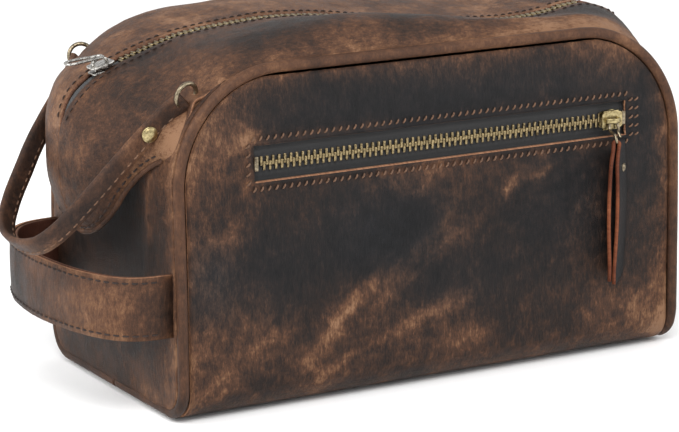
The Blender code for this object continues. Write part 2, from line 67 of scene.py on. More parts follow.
def vnoise(P, seed=0):
    P = np.asarray(P, float)
    i = np.floor(P).astype(np.int64)
    f = P - i
    f = f * f * f * (f * (f * 6 - 15) + 10)
    out = 0
    for dx in (0, 1):
        for dy in (0, 1):
            for dz in (0, 1):
                w = (f[..., 0] if dx else 1 - f[..., 0]) * (f[..., 1] if dy else 1 - f[..., 1]) * (f[..., 2] if dz else 1 - f[..., 2])
                out = out + w * hash3(i[..., 0] + dx, i[..., 1] + dy, i[..., 2] + dz, seed)
    return out


def fbm(P, size, octaves=4, seed=0, rough=0.55):
    P = np.asarray(P, float) / size
    out, a, tot = 0, 1.0, 0
    for k in range(octaves):
        out = out + a * vnoise(P * 2.03**k + 17.3 * k, seed + k)
        tot += a
        a *= rough
    return out / tot


def sstep(e0, e1, x):
    t = np.clip((np.asarray(x, float) - e0) / (e1 - e0), 0, 1)
    return t * t * (3 - 2 * t)


def catmull(points, n):
    """n points evenly spaced along a smooth curve through these points."""
    p = np.asarray(points, float)
    q = np.vstack([2 * p[0] - p[1], p, 2 * p[-1] - p[-2]])
    fine = []
    for k in range(len(p) - 1):
        t = np.linspace(0, 1, 24, endpoint=False)[:, None]
        a, b, c, d = q[k : k + 4]
        fine.append(0.5 * (2 * b + (c - a) * t + (2 * a - 5 * b + 4 * c - d) * t**2 + (3 * b - a - 3 * c + d) * t**3))
    fine = np.vstack([*fine, p[-1:]])
    s = np.concatenate([[0], np.cumsum(np.linalg.norm(np.diff(fine, axis=0), axis=1))])
    u = np.linspace(0, s[-1], n)
    return np.stack([np.interp(u, s, fine[:, k]) for k in range(p.shape[1])], 1)


def smooth_interp(x, xs, ys):
    """A smooth curve through (xs, ys): linear interpolation averaged over a window."""
    xs, ys = np.asarray(xs, float), np.asarray(ys, float)
    out = 0
    offs = np.linspace(-7, 7, 9)
    for o in offs:
        out = out + np.interp(np.asarray(x, float) + o, xs, ys)
    return out / len(offs)


# ---- meshes -------------------------------------------------------------------------------
def new_obj(name, verts, faces, mats, smooth=True):
    me = bpy.data.meshes.new(name)
    me.from_pydata((np.asarray(verts, float) * MM).tolist(), [], faces)
    me.update()
    for m in mats if isinstance(mats, (list, tuple)) else [mats]:
        me.materials.append(m)
    if smooth:
        me.shade_smooth()
    o = bpy.data.objects.new(name, me)
    bpy.context.scene.collection.objects.link(o)
    return o


def grid_faces(n, m, closed_u=False, closed_v=False, keep=None, flip=False):
    out = []
    for i in range(n if closed_u else n - 1):
        for j in range(m if closed_v else m - 1):
            if keep is not None and not keep(i, j):
                continue
            a, b = i * m + j, i * m + (j + 1) % m
            c, d = ((i + 1) % n) * m + (j + 1) % m, ((i + 1) % n) * m + j
            out.append((a, d, c, b) if flip else (a, b, c, d))
    return out


def attr(o, name, values):
    a = o.data.attributes.new(name, "FLOAT", "POINT")
    a.data.foreach_set("value", np.asarray(values, np.float32).reshape(-1))


def rest_attr(o, co=None):
    """The rest position in centimetres, which the materials read."""
    me = o.data
    if co is None:
        co = np.empty(len(me.vertices) * 3, np.float32)
        me.vertices.foreach_get("co", co)
        co = co.reshape(-1, 3) * 100
    a = me.attributes.new("rest_cm", "FLOAT_VECTOR", "POINT")
    a.data.foreach_set("vector", np.asarray(co, np.float32).reshape(-1))


def finish_piece(o, tone=None, blue=None, co=None):
    n = len(o.data.vertices)
    rest_attr(o, co)
    attr(o, "tone", np.zeros(n) if tone is None else tone)
    attr(o, "blue", np.zeros(n) if blue is None else blue)
    return o


def coords(o):
    co = np.empty(len(o.data.vertices) * 3, np.float32)
    o.data.vertices.foreach_get("co", co)
    return co.reshape(-1, 3).astype(float) / MM


def sheet_obj(name, P, mats, thickness=1.8, offset=-1, keep=None, flip=False, bevel=0.35, rim=None, weld=False):
    """A leather sheet: the grid P (n, m, 3) in mm, given a thickness and softened cut edges."""
    n, m, _ = P.shape
    o = new_obj(name, P.reshape(-1, 3), grid_faces(n, m, keep=keep, flip=flip), mats)
    bm = bmesh.new()
    bm.from_mesh(o.data)
    if weld:
        bmesh.ops.remove_doubles(bm, verts=bm.verts, dist=0.00004)
    bmesh.ops.delete(bm, geom=[v for v in bm.verts if not v.link_faces], context="VERTS")
    bm.to_mesh(o.data)
    bm.free()
    if thickness:
        s = o.modifiers.new("Thickness", "SOLIDIFY")
        s.thickness = thickness * MM
        s.offset = offset
        if rim is not None:
            s.material_offset_rim = rim
    if bevel:
        b = o.modifiers.new("Cut edges", "BEVEL")
        b.width = bevel * MM
        b.segments = 2
        b.limit_method = "ANGLE"
        b.angle_limit = math.radians(50)
    return o


def frames(path, up):
    """Unit tangents, and normals and sides squared to them, along a path; up is the wanted normal at each point."""
    path = np.asarray(path, float)
    t = np.gradient(path, axis=0)
    t /= np.linalg.norm(t, axis=1)[:, None]
    up = np.broadcast_to(np.asarray(up, float), path.shape)
    n = up - (up * t).sum(1)[:, None] * t
    n /= np.linalg.norm(n, axis=1)[:, None]
    return t, n, np.cross(t, n)


def sweep(name, path, up, profile, mats, closed=False, scale=None):
    """A closed profile [(side, normal)] swept along a path; ends are closed."""
    path = np.asarray(path, float)
    t, nn, ss = frames(path, up)
    if closed:
        t = np.roll(path, -1, 0) - np.roll(path, 1, 0)
        t /= np.linalg.norm(t, axis=1)[:, None]
        upv = np.broadcast_to(np.asarray(up, float), path.shape)
        nn = upv - (upv * t).sum(1)[:, None] * t
        nn /= np.linalg.norm(nn, axis=1)[:, None]
        ss = np.cross(t, nn)
    prof = np.asarray(profile, float)
    n, m = len(path), len(prof)
    sc = np.ones(n) if scale is None else np.asarray(scale, float)
    V = path[:, None, :] + ss[:, None, :] * (prof[None, :, 0:1] * sc[:, None, None]) + nn[:, None, :] * (prof[None, :, 1:2] * sc[:, None, None])
    faces = grid_faces(n, m, closed_u=closed, closed_v=True)
    if not closed:
        faces += [tuple(range(m)), tuple((n - 1) * m + k for k in reversed(range(m)))]
    o = new_obj(name, V.reshape(-1, 3), faces, mats)
    bm = bmesh.new()
    bm.from_mesh(o.data)
    bmesh.ops.recalc_face_normals(bm, faces=bm.faces)
    bm.to_mesh(o.data)
    bm.free()
    return o


def circle(r, k=12, squash=1.0):
    return [(r * math.cos(2 * math.pi * i / k), r * squash * math.sin(2 * math.pi * i / k)) for i in range(k)]


def capsules(name, centres, dirs, normals, half, radius, mats, arch=0.35, sides=6):
    """Stitches or other small rods as one mesh."""
    us = np.array([-1, -0.72, 0, 0.72, 1.0])
    rr = np.array([0.45, 0.92, 1.0, 0.92, 0.45])
    ang = np.arange(sides) * 2 * math.pi / sides
    V, F, C = [], [], []
    for k, (c, d, n) in enumerate(zip(centres, dirs, normals)):
        d = d / np.linalg.norm(d)
        n = n - n.dot(d) * d
        n = n / np.linalg.norm(n)
        s = np.cross(d, n)
        base = len(V)
        for u, r in zip(us, rr):
            mid = c + d * (u * half) + n * (radius * (arch - 1.15 * abs(u) ** 2))
            for a in ang:
                V.append(mid + s * (math.cos(a) * r * radius) + n * (math.sin(a) * r * radius))
                C.append(c)
        for i in range(4):
            for j in range(sides):
                a, b = base + i * sides + j, base + i * sides + (j + 1) % sides
                F.append((a, b, b + sides, a + sides))
        F.append(tuple(base + j for j in reversed(range(sides))))
        F.append(tuple(base + 4 * sides + j for j in range(sides)))
    return new_obj(name, np.array(V), F, mats)


def stitch_row(name, path, normals, body, mats, spacing=4.0, length=2.9, radius=0.42, lift=0.0):
    """A row of stitches along a path (mm)."""
    path = np.asarray(path, float)
    s = np.concatenate([[0], np.cumsum(np.linalg.norm(np.diff(path, axis=0), axis=1))])
    count = max(2, int(s[-1] / spacing))
    u = (np.arange(count) + 0.5) * s[-1] / count
    get = lambda A, v: np.stack([np.interp(v, s, A[:, k]) for k in range(3)], 1)
    normals = np.broadcast_to(np.asarray(normals, float), path.shape)
    c, n = get(path, u), get(normals, u)
    d = get(path, np.minimum(u + 0.5, s[-1])) - get(path, np.maximum(u - 0.5, 0))
    c = c + n / np.linalg.norm(n, axis=1)[:, None] * lift
    o = capsules(name, c, d, n, length / 2, radius, mats)
    finish_piece(o, tone=np.repeat(0.08 * np.sin(np.arange(count) * 12.9898), 30))
    if body:
        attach(o, body)
    return o


# ---- materials ----------------------------------------------------------------------------
def nodes_for(name):
    m = bpy.data.materials.new(name)
    m.use_nodes = True
    nt = m.node_tree
    bs = nt.nodes["Principled BSDF"]
    return m, nt, bs


def N(nt, kind, **props):
    n = nt.nodes.new(kind)
    for k, v in props.items():
        setattr(n, k, v)
    return n


def L(nt, a, b):
    nt.links.new(a, b)


def rest_vector(nt, scale=(1, 1, 1)):
    a = N(nt, "ShaderNodeAttribute", attribute_name="rest_cm")
    mp = N(nt, "ShaderNodeMapping")
    mp.inputs["Scale"].default_value = scale
    L(nt, a.outputs["Vector"], mp.inputs["Vector"])
    return mp.outputs["Vector"]


def noise_node(nt, vec, scale, detail=4, rough=0.6, distortion=0.0):
    n = N(nt, "ShaderNodeTexNoise")
    n.inputs["Scale"].default_value = scale
    n.inputs["Detail"].default_value = detail
    n.inputs["Roughness"].default_value = rough
    n.inputs["Distortion"].default_value = distortion
    L(nt, vec, n.inputs["Vector"])
    return n.outputs["Fac"]


def math_node(nt, op, a, b, clamp=False):
    n = N(nt, "ShaderNodeMath", operation=op, use_clamp=clamp)
    for i, v in enumerate((a, b)):
        if isinstance(v, (int, float)):
            n.inputs[i].default_value = v
        else:
            L(nt, v, n.inputs[i])
    return n.outputs[0]


def ramp(nt, fac, stops):
    r = N(nt, "ShaderNodeValToRGB")
    e = r.color_ramp.elements
    while len(e) < len(stops):
        e.new(0.5)
    for k, (p, c) in enumerate(stops):
        e[k].position = p
        e[k].color = (*c, 1) if len(c) == 3 else c
    L(nt, fac, r.inputs["Fac"])
    return r.outputs["Color"]


BROWNS = [
    (0.00, (0.0037, 0.0034, 0.0035)),
    (0.22, (0.0077, 0.0062, 0.0059)),
    (0.42, (0.0167, 0.0103, 0.0081)),
    (0.58, (0.0360, 0.0183, 0.0117)),
    (0.74, (0.0732, 0.0336, 0.0184)),
    (0.88, (0.1302, 0.0618, 0.0312)),
    (1.00, (0.2108, 0.1119, 0.0614)),
]


def leather(name, base=0.45, vary=0.32, stops=BROWNS, grain=(1.0, 1.0, 0.28), bump=0.30, rough=0.50, blue=True):
    m, nt, bs = nodes_for(name)
    v = rest_vector(nt)
    vg = rest_vector(nt, grain)
    patches = noise_node(nt, v, 0.42, 5, 0.62, 0.5)
    cloudy = noise_node(nt, v, 1.9, 6, 0.68, 0.3)
    streak = noise_node(nt, vg, 7.5, 5, 0.72, 0.15)
    fine = noise_node(nt, vg, 24.0, 4, 0.75)
    pores = noise_node(nt, v, 46.0, 2, 0.6)
    tone = N(nt, "ShaderNodeAttribute", attribute_name="tone").outputs["Fac"]
    t = math_node(nt, "ADD", tone, base)
    for f, k in ((patches, vary), (cloudy, vary * 0.75), (streak, vary * 0.85), (fine, vary * 0.70), (pores, 0.10)):
        t = math_node(nt, "ADD", t, math_node(nt, "MULTIPLY", math_node(nt, "SUBTRACT", f, 0.5), k * 2))
    # long pale scratches, thin and sparse
    vs = rest_vector(nt, (1.0, 1.0, 0.16))
    sc = noise_node(nt, vs, 11.0, 3, 0.8, 0.9)
    line = math_node(nt, "SUBTRACT", 1.0, math_node(nt, "MULTIPLY", math_node(nt, "ABSOLUTE", math_node(nt, "SUBTRACT", sc, 0.53), 0.0), 46.0), clamp=True)
    where = math_node(nt, "MULTIPLY", math_node(nt, "SUBTRACT", cloudy, 0.47), 5.0, clamp=True)
    t = math_node(nt, "ADD", t, math_node(nt, "MULTIPLY", math_node(nt, "MULTIPLY", line, where), 0.17))
    col = ramp(nt, t, stops)
    if blue:
        b = N(nt, "ShaderNodeAttribute", attribute_name="blue").outputs["Fac"]
        b = math_node(nt, "MULTIPLY", b, math_node(nt, "ADD", math_node(nt, "MULTIPLY", cloudy, 1.4), -0.1), clamp=True)
        mix = N(nt, "ShaderNodeMixRGB", blend_type="MIX")
        L(nt, b, mix.inputs["Fac"])
        L(nt, col, mix.inputs["Color1"])
        tint = ramp(nt, t, [(0.0, (0.0044, 0.0053, 0.0067)), (0.35, (0.0099, 0.0109, 0.0129)), (0.62, (0.0326, 0.0245, 0.0211)), (1.0, (0.1360, 0.0816, 0.0544))])
        L(nt, tint, mix.inputs["Color2"])
        col = mix.outputs["Color"]
    L(nt, col, bs.inputs["Base Color"])
    r = math_node(nt, "ADD", rough - 0.17, math_node(nt, "MULTIPLY", cloudy, 0.34))
    L(nt, r, bs.inputs["Roughness"])
    bs.inputs["Specular IOR Level"].default_value = 0.15
    # grain: fine pebbles, vertical pull marks and pores
    vor = N(nt, "ShaderNodeTexVoronoi", feature="DISTANCE_TO_EDGE")
    vor.inputs["Scale"].default_value = 13.0
    warp = N(nt, "ShaderNodeVectorMath", operation="ADD")
    nz = N(nt, "ShaderNodeTexNoise")
    nz.inputs["Scale"].default_value = 5.0
    L(nt, v, nz.inputs["Vector"])
    vm = N(nt, "ShaderNodeVectorMath", operation="SCALE")
    vm.inputs["Scale"].default_value = 0.12
    L(nt, nz.outputs["Color"], vm.inputs[0])
    L(nt, v, warp.inputs[0])
    L(nt, vm.outputs["Vector"], warp.inputs[1])
    L(nt, warp.outputs["Vector"], vor.inputs["Vector"])
    cell = math_node(nt, "MULTIPLY", vor.outputs["Distance"], 3.0, clamp=True)
    h = math_node(nt, "ADD", math_node(nt, "MULTIPLY", cell, 0.22), math_node(nt, "MULTIPLY", streak, 0.9))
    h = math_node(nt, "ADD", h, math_node(nt, "MULTIPLY", fine, 0.55))
    h = math_node(nt, "ADD", h, math_node(nt, "MULTIPLY", pores, 0.25))
    bp = N(nt, "ShaderNodeBump")
    bp.inputs["Strength"].default_value = bump
    bp.inputs["Distance"].default_value = 0.0015
    L(nt, h, bp.inputs["Height"])
    L(nt, bp.outputs["Normal"], bs.inputs["Normal"])
    return m


def cut_edge(name, colour=(0.33, 0.17, 0.095), dark=(0.13, 0.055, 0.03)):
    m, nt, bs = nodes_for(name)
    v = rest_vector(nt)
    f = noise_node(nt, v, 14.0, 5, 0.7)
    L(nt, ramp(nt, f, [(0.32, dark), (0.62, colour)]), bs.inputs["Base Color"])
    bs.inputs["Roughness"].default_value = 0.85
    bs.inputs["Specular IOR Level"].default_value = 0.2
    bp = N(nt, "ShaderNodeBump")
    bp.inputs["Strength"].default_value = 0.5
    bp.inputs["Distance"].default_value = 0.0004
    L(nt, f, bp.inputs["Height"])
    L(nt, bp.outputs["Normal"], bs.inputs["Normal"])
    return m


def thread(name, colour=(0.20, 0.105, 0.06)):
    m, nt, bs = nodes_for(name)
    v = rest_vector(nt)
    tone = N(nt, "ShaderNodeAttribute", attribute_name="tone").outputs["Fac"]
    f = math_node(nt, "ADD", noise_node(nt, v, 9.0, 3, 0.6), tone)
    L(nt, ramp(nt, f, [(0.25, tuple(0.35 * c for c in colour)), (0.75, colour)]), bs.inputs["Base Color"])
    bs.inputs["Roughness"].default_value = 0.8
    w = N(nt, "ShaderNodeTexWave", wave_type="BANDS", bands_direction="DIAGONAL")
    w.inputs["Scale"].default_value = 16.0
    L(nt, v, w.inputs["Vector"])
    bp = N(nt, "ShaderNodeBump")
    bp.inputs["Strength"].default_value = 0.6
    bp.inputs["Distance"].default_value = 0.0002
    L(nt, w.outputs["Fac"], bp.inputs["Height"])
    L(nt, bp.outputs["Normal"], bs.inputs["Normal"])
    return m


def brass(name, dark=(0.085, 0.062, 0.032), bright=(0.50, 0.40, 0.22), rough=0.34, bump=0.12):
    """Antique brass: dark patina, rubbed bright where it is handled."""
    m, nt, bs = nodes_for(name)
    v = rest_vector(nt)
    a = noise_node(nt, v, 9.0, 5, 0.65)
    b = noise_node(nt, v, 60.0, 3, 0.6)
    f = math_node(nt, "ADD", math_node(nt, "MULTIPLY", a, 0.75), math_node(nt, "MULTIPLY", b, 0.25))
    L(nt, ramp(nt, f, [(0.36, dark), (0.60, bright)]), bs.inputs["Base Color"])
    bs.inputs["Metallic"].default_value = 1.0
    L(nt, math_node(nt, "ADD", math_node(nt, "MULTIPLY", a, 0.30), rough - 0.13), bs.inputs["Roughness"])
    bp = N(nt, "ShaderNodeBump")
    bp.inputs["Strength"].default_value = bump
    bp.inputs["Distance"].default_value = 0.0002
    L(nt, b, bp.inputs["Height"])
    L(nt, bp.outputs["Normal"], bs.inputs["Normal"])
    return m


def woven(name, light=(0.030, 0.030, 0.032), dark=(0.004, 0.004, 0.005), pitch=1.0, rough=0.75, herring=True):
    """Zip tape: herringbone ribs that turn at each column."""
    m, nt, bs = nodes_for(name)
    v = rest_vector(nt)
    sep = N(nt, "ShaderNodeSeparateXYZ")
    L(nt, v, sep.inputs["Vector"])
    x, z = sep.outputs["X"], sep.outputs["Z"]
    y = sep.outputs["Y"]
    across = math_node(nt, "ADD", z, y)
    tri = math_node(nt, "PINGPONG", across, 0.12 / pitch)
    ribs = math_node(nt, "ADD", math_node(nt, "MULTIPLY", x, 1.0), math_node(nt, "MULTIPLY", tri, 1.5 if herring else 0.0))
    saw = math_node(nt, "PINGPONG", math_node(nt, "MULTIPLY", ribs, 14.0 * pitch), 0.5)
    fib = noise_node(nt, v, 55.0, 3, 0.7)
    h = math_node(nt, "ADD", math_node(nt, "MULTIPLY", saw, 1.4), math_node(nt, "MULTIPLY", fib, 0.5))
    L(nt, ramp(nt, h, [(0.15, dark), (0.95, light)]), bs.inputs["Base Color"])
    bs.inputs["Roughness"].default_value = rough
    bs.inputs["Sheen Weight"].default_value = 0.15
    bp = N(nt, "ShaderNodeBump")
    bp.inputs["Strength"].default_value = 0.7
    bp.inputs["Distance"].default_value = 0.0003
    L(nt, h, bp.inputs["Height"])
    L(nt, bp.outputs["Normal"], bs.inputs["Normal"])
    return m


def cloth(name, light, dark, scale=22.0, rough=0.85):
    """Plain woven lining cloth."""
    m, nt, bs = nodes_for(name)
    v = rest_vector(nt)
    sep = N(nt, "ShaderNodeSeparateXYZ")
    L(nt, v, sep.inputs["Vector"])
    a = math_node(nt, "SINE", math_node(nt, "MULTIPLY", math_node(nt, "ADD", sep.outputs["X"], sep.outputs["Y"]), scale * 2.4), 0.0)
    b = math_node(nt, "SINE", math_node(nt, "MULTIPLY", math_node(nt, "ADD", sep.outputs["Z"], math_node(nt, "MULTIPLY", sep.outputs["Y"], 0.5)), scale * 2.4), 0.0)
    weave = math_node(nt, "ADD", math_node(nt, "MULTIPLY", math_node(nt, "MULTIPLY", a, b), 0.25), 0.5)
    big = noise_node(nt, v, 0.8, 5, 0.6)
    f = math_node(nt, "ADD", math_node(nt, "MULTIPLY", weave, 0.5), math_node(nt, "MULTIPLY", big, 0.6))
    L(nt, ramp(nt, f, [(0.3, dark), (0.8, light)]), bs.inputs["Base Color"])
    bs.inputs["Roughness"].default_value = rough
    bs.inputs["Sheen Weight"].default_value = 0.25
    bp = N(nt, "ShaderNodeBump")
    bp.inputs["Strength"].default_value = 0.5
    bp.inputs["Distance"].default_value = 0.0003
    L(nt, weave, bp.inputs["Height"])
    L(nt, bp.outputs["Normal"], bs.inputs["Normal"])
    return m


M_BODY = leather("leather_body_pullup", base=0.385, vary=0.44, bump=0.45)
M_END = leather("leather_end_pullup", base=0.53, vary=0.36, bump=0.42, blue=False)
M_TOP = leather("leather_top_pullup", base=0.62, vary=0.36, bump=0.42, grain=(0.4, 1, 1), blue=False)
M_PIPE = leather("leather_piping", base=0.74, vary=0.22, grain=(1, 1, 0.35), bump=0.22)
M_STRAP = leather("leather_strap", base=0.57, vary=0.30, grain=(0.9, 0.9, 0.5), bump=0.4)
M_HANDLE = leather("leather_handle_pullup", base=0.60, vary=0.30, grain=(1, 1, 0.3), bump=0.4)
M_TAB = leather("leather_tab_pullup", base=0.64, vary=0.22)
M_INNER = leather("leather_flesh_side", base=0.40, vary=0.18, stops=[(0.0, (0.016, 0.006, 0.004)), (0.5, (0.065, 0.022, 0.013)), (1.0, (0.16, 0.065, 0.035))], rough=0.75, blue=False)
M_PULL = leather("leather_pull_red", base=0.45, vary=0.22, stops=[(0.0, (0.02, 0.007, 0.004)), (0.4, (0.10, 0.028, 0.013)), (0.7, (0.22, 0.070, 0.030)), (1.0, (0.34, 0.15, 0.08))], blue=False)
M_PULL_DARK = leather("leather_pull_face", base=0.28, vary=0.22)
M_RAW = cut_edge("leather_cut_edge")
M_RAW_DARK = cut_edge("leather_cut_edge_dark", (0.15, 0.07, 0.042), (0.045, 0.02, 0.012))
M_THREAD = thread("thread_brown")
M_THREAD_DARK = thread("thread_dark_brown", (0.030, 0.015, 0.010))
M_BRASS = brass("brass_antique", dark=(0.030, 0.024, 0.016), bright=(0.34, 0.28, 0.19))
M_TEETH = brass("brass_teeth", dark=(0.040, 0.028, 0.014), bright=(0.36, 0.28, 0.15), rough=0.30)
M_SLIDER = brass("nickel_worn", dark=(0.05, 0.045, 0.04), bright=(0.62, 0.60, 0.56), rough=0.24, bump=0.04)
M_RIVET = brass("brass_rivet", dark=(0.16, 0.12, 0.055), bright=(0.46, 0.38, 0.20), rough=0.30)
M_TAPE = woven("zip_tape_black", light=(0.011, 0.011, 0.012), dark=(0.0015, 0.0015, 0.002))
M_LINING = cloth("lining_cloth", (0.10, 0.075, 0.055), (0.045, 0.032, 0.024))
M_POCKET = cloth("pocket_cloth", (0.055, 0.045, 0.040), (0.020, 0.016, 0.014))


# ---- shape of the bag ---------------------------------------------------------------------
def front_y(z):
    """Front leather at its middle: it leans in a little towards the top."""
    return -62.3 + 5.4 * np.clip(np.asarray(z, float) / 146.5, 0, 1.2) ** 2


def back_y(z):
    return -front_y(z)


def half_width(z, r=CR):
    """Half length of the piped outline at this height."""
    z = np.asarray(z, float)
    over = np.clip(z - CZ, 0, r)
    return CX + np.sqrt(np.maximum(r * r - over * over, 0))


def seam_z(x, r=CR):
    over = np.clip(np.abs(np.asarray(x, float)) - CX, 0, r)
    return CZ + np.sqrt(np.maximum(r * r - over * over, 0))


def stroke(X, Z, pts, width, sharp=1.0):
    """How near each point is to a stroke through pts: 1 on it, 0 away from it."""
    best = np.zeros_like(X)
    for (x0, z0), (x1, z1) in zip(pts, pts[1:]):
        dx, dz = x1 - x0, z1 - z0
        t = np.clip(((X - x0) * dx + (Z - z0) * dz) / (dx * dx + dz * dz), 0, 1)
        d2 = (X - x0 - t * dx) ** 2 + (Z - z0 - t * dz) ** 2
        best = np.maximum(best, np.exp(-((d2 / width**2) ** sharp)))
    return best


def blob(X, Z, cx, cz, rx, rz, power=1.3):
    return np.exp(-((((X - cx) / rx) ** 2 + ((Z - cz) / rz) ** 2) ** power))


STREAKS = [
    # points, width, strength, number of fine folds across it
    ([(-62, 24), (-50, 35), (-32, 45), (-13, 55), (4, 70)], 7.5, 0.42),
    ([(-70, 18), (-60, 27), (-44, 40)], 9.0, 0.22),
    ([(-57, 11), (-38, 18), (-22, 22), (-6, 30), (12, 36)], 6.0, 0.34),
    ([(-118, 7), (-101, 19), (-84, 34)], 6.5, 0.30),
    ([(34, 80), (44, 86), (58, 88)], 4.6, 0.36),
    ([(14, 66), (24, 74), (36, 82)], 5.0, 0.16),
    ([(-50, 60), (-44, 75), (-36, 92)], 5.5, 0.16),
    ([(-22, 92), (-8, 95), (6, 97), (10, 92)], 2.5, 0.13),
    ([(-112, 66), (-108, 74), (-100, 78)], 7.0, 0.18),
    ([(-18, 12), (4, 14), (24, 20)], 5.0, 0.16),
    ([(56, 76), (68, 70)], 1.6, 0.20),
    ([(60, 66), (72, 48)], 1.6, 0.16),
]


def front_masks(X, Z):
    """Tone and blue cast of the pull-up leather on the front."""
    P = np.stack([X, np.zeros_like(X), Z], -1)
    warp = fbm(P, 22, 3, 5)
    Xw, Zw = X + 5 * warp, Z + 5 * fbm(P, 22, 3, 9)
    edge = np.minimum(half_width(Z) - np.abs(X), SEAM_H - Z)
    over = (Z > CZ) & (np.abs(X) > CX)
    edge = np.where(over, CR - np.hypot(np.abs(X) - CX, Z - CZ), edge)
    mottle = fbm(P, 9, 4, 21)
    tone = np.full(X.shape, 0.02)
    tone += 0.36 * np.exp(-np.maximum(edge, 0) / 4.5) * (1 + 0.7 * mottle)
    tone += 0.16 * np.exp(-np.maximum(edge, 0) / 14.0)
    tone += (0.16 + 0.10 * mottle) * np.exp(-np.maximum(Zw, 0) / 13.0)
    # dark, oily patches
    tone -= 0.26 * blob(Xw, Zw, -30, 72, 34, 19)
    tone -= 0.20 * blob(Xw, Zw, 30, 118, 90, 17)
    tone -= 0.24 * blob(Xw, Zw, -62, 128, 34, 12)
    tone -= 0.16 * blob(Xw, Zw, 60, 70, 30, 26)
    tone -= 0.14 * blob(Xw, Zw, 10, 44, 26, 12)
    tone -= 0.12 * blob(Xw, Zw, -72, 62, 22, 24)
    tone -= 0.16 * blob(Xw, Zw, 108, 96, 12, 26)
    tone -= 0.10 * blob(Xw, Zw, -112, 58, 10, 13)
    # lighter, drier patches
    tone += 0.27 * blob(Xw, Zw, 112, 14, 28, 19)
    tone += 0.14 * blob(Xw, Zw, 84, 30, 24, 12)
    tone += 0.12 * blob(Xw, Zw, -104, 92, 13, 34)
    tone += 0.10 * blob(Xw, Zw, -100, 120, 14, 12)
    tone += 0.10 * blob(Xw, Zw, -92, 30, 26, 18)
    tone += 0.08 * blob(Xw, Zw, 0, 88, 34, 7)
    tone += 0.07 * blob(Xw, Zw, -12, 30, 42, 12)
    for k, (pts, width, strength) in enumerate(STREAKS):
        a = stroke(Xw, Zw, pts, width)
        dx, dz = pts[-1][0] - pts[0][0], pts[-1][1] - pts[0][1]
        n = math.hypot(dx, dz)
        along, across = (X * dx + Z * dz) / n, (X * -dz + Z * dx) / n
        wob = 3.0 * fbm(P, 16, 2, 140 + k)
        fine = fbm(np.stack([along / 26.0, (across + wob) / 4.2, np.full_like(X, 3.7 * k)], -1), 1.0, 3, 40 + k)
        tone += strength * a * np.clip(0.62 + 1.0 * fine, 0, 1.5)
    # rubbed round the pocket's stitching
    x0, x1, z0, z1 = SLOT
    d = np.maximum(np.maximum(x0 - X, X - x1), np.maximum(z0 - Z, Z - z1))
    tone += 0.16 * np.exp(-(((d - 3.0) / 2.0) ** 2)) * np.clip(0.75 + 1.2 * mottle, 0, 1.5)
    tone += 0.30 * blob(X, Z, x0 - 3, z1 + 3, 5, 4) + 0.18 * blob(X, Z, x0 - 3, z0 - 4, 5, 6)
    drips = np.clip(fbm(np.stack([X / 2.2, np.zeros_like(X), Z / 14.0], -1), 1.0, 3, 77), 0, 1)
    tone += 0.30 * drips * sstep(78, 98, Z) * sstep(101, 98, Z) * sstep(-80, -50, X) * sstep(70, 20, X)
    blue = np.clip(
        0.95 * blob(Xw, Zw, -30, 72, 36, 20) + 0.8 * blob(Xw, Zw, 10, 124, 110, 16) + 0.95 * blob(Xw, Zw, -112, 60, 12, 15)
        + 0.7 * blob(Xw, Zw, 66, 72, 34, 26) + 0.5 * blob(Xw, Zw, 12, 44, 30, 14) + 0.5 * blob(Xw, Zw, -85, 60, 20, 20)
        + 0.6 * blob(Xw, Zw, 108, 96, 12, 26), 0, 1)
    return tone, blue


def front_relief(X, Z):
    """How far the front leather stands proud of its flat shape, mm."""
    P = np.stack([X, np.zeros_like(X), Z], -1)
    edge = np.minimum(half_width(Z) - np.abs(X), SEAM_H - Z)
    over = (Z > CZ) & (np.abs(X) > CX)
    edge = np.where(over, CR - np.hypot(np.abs(X) - CX, Z - CZ), edge)
    h = 1.6 * (1 - np.exp(-np.maximum(edge - 3.0, 0) / 9.0))      # puffs out from the piping
    h += 0.55 * fbm(P, 42, 3, 11)
    calm = 1 - 0.85 * sstep(9, 3, np.maximum(np.maximum(SLOT[0] - X, X - SLOT[1]), np.maximum(SLOT[2] - Z, Z - SLOT[3])))
    h = h * (0.3 + 0.7 * calm)
    for k, (pts, width, strength) in enumerate(STREAKS[:8]):
        a = stroke(X, Z, pts, width * 1.1)
        dx, dz = pts[-1][0] - pts[0][0], pts[-1][1] - pts[0][1]
        n = math.hypot(dx, dz)
        along, across = (X * dx + Z * dz) / n, (X * -dz + Z * dx) / n
        wob = 3.0 * fbm(P, 16, 2, 140 + k)
        fine = fbm(np.stack([along / 26.0, (across + wob) / 4.6, np.full_like(X, 3.7 * k)], -1), 1.0, 2, 60 + k)
        h += strength * a * (0.8 + 2.6 * fine) * calm
    h += 0.20 * fbm(np.stack([X / 5.0, np.zeros_like(X), Z / 16.0], -1), 1.0, 3, 33) * calm
    return h


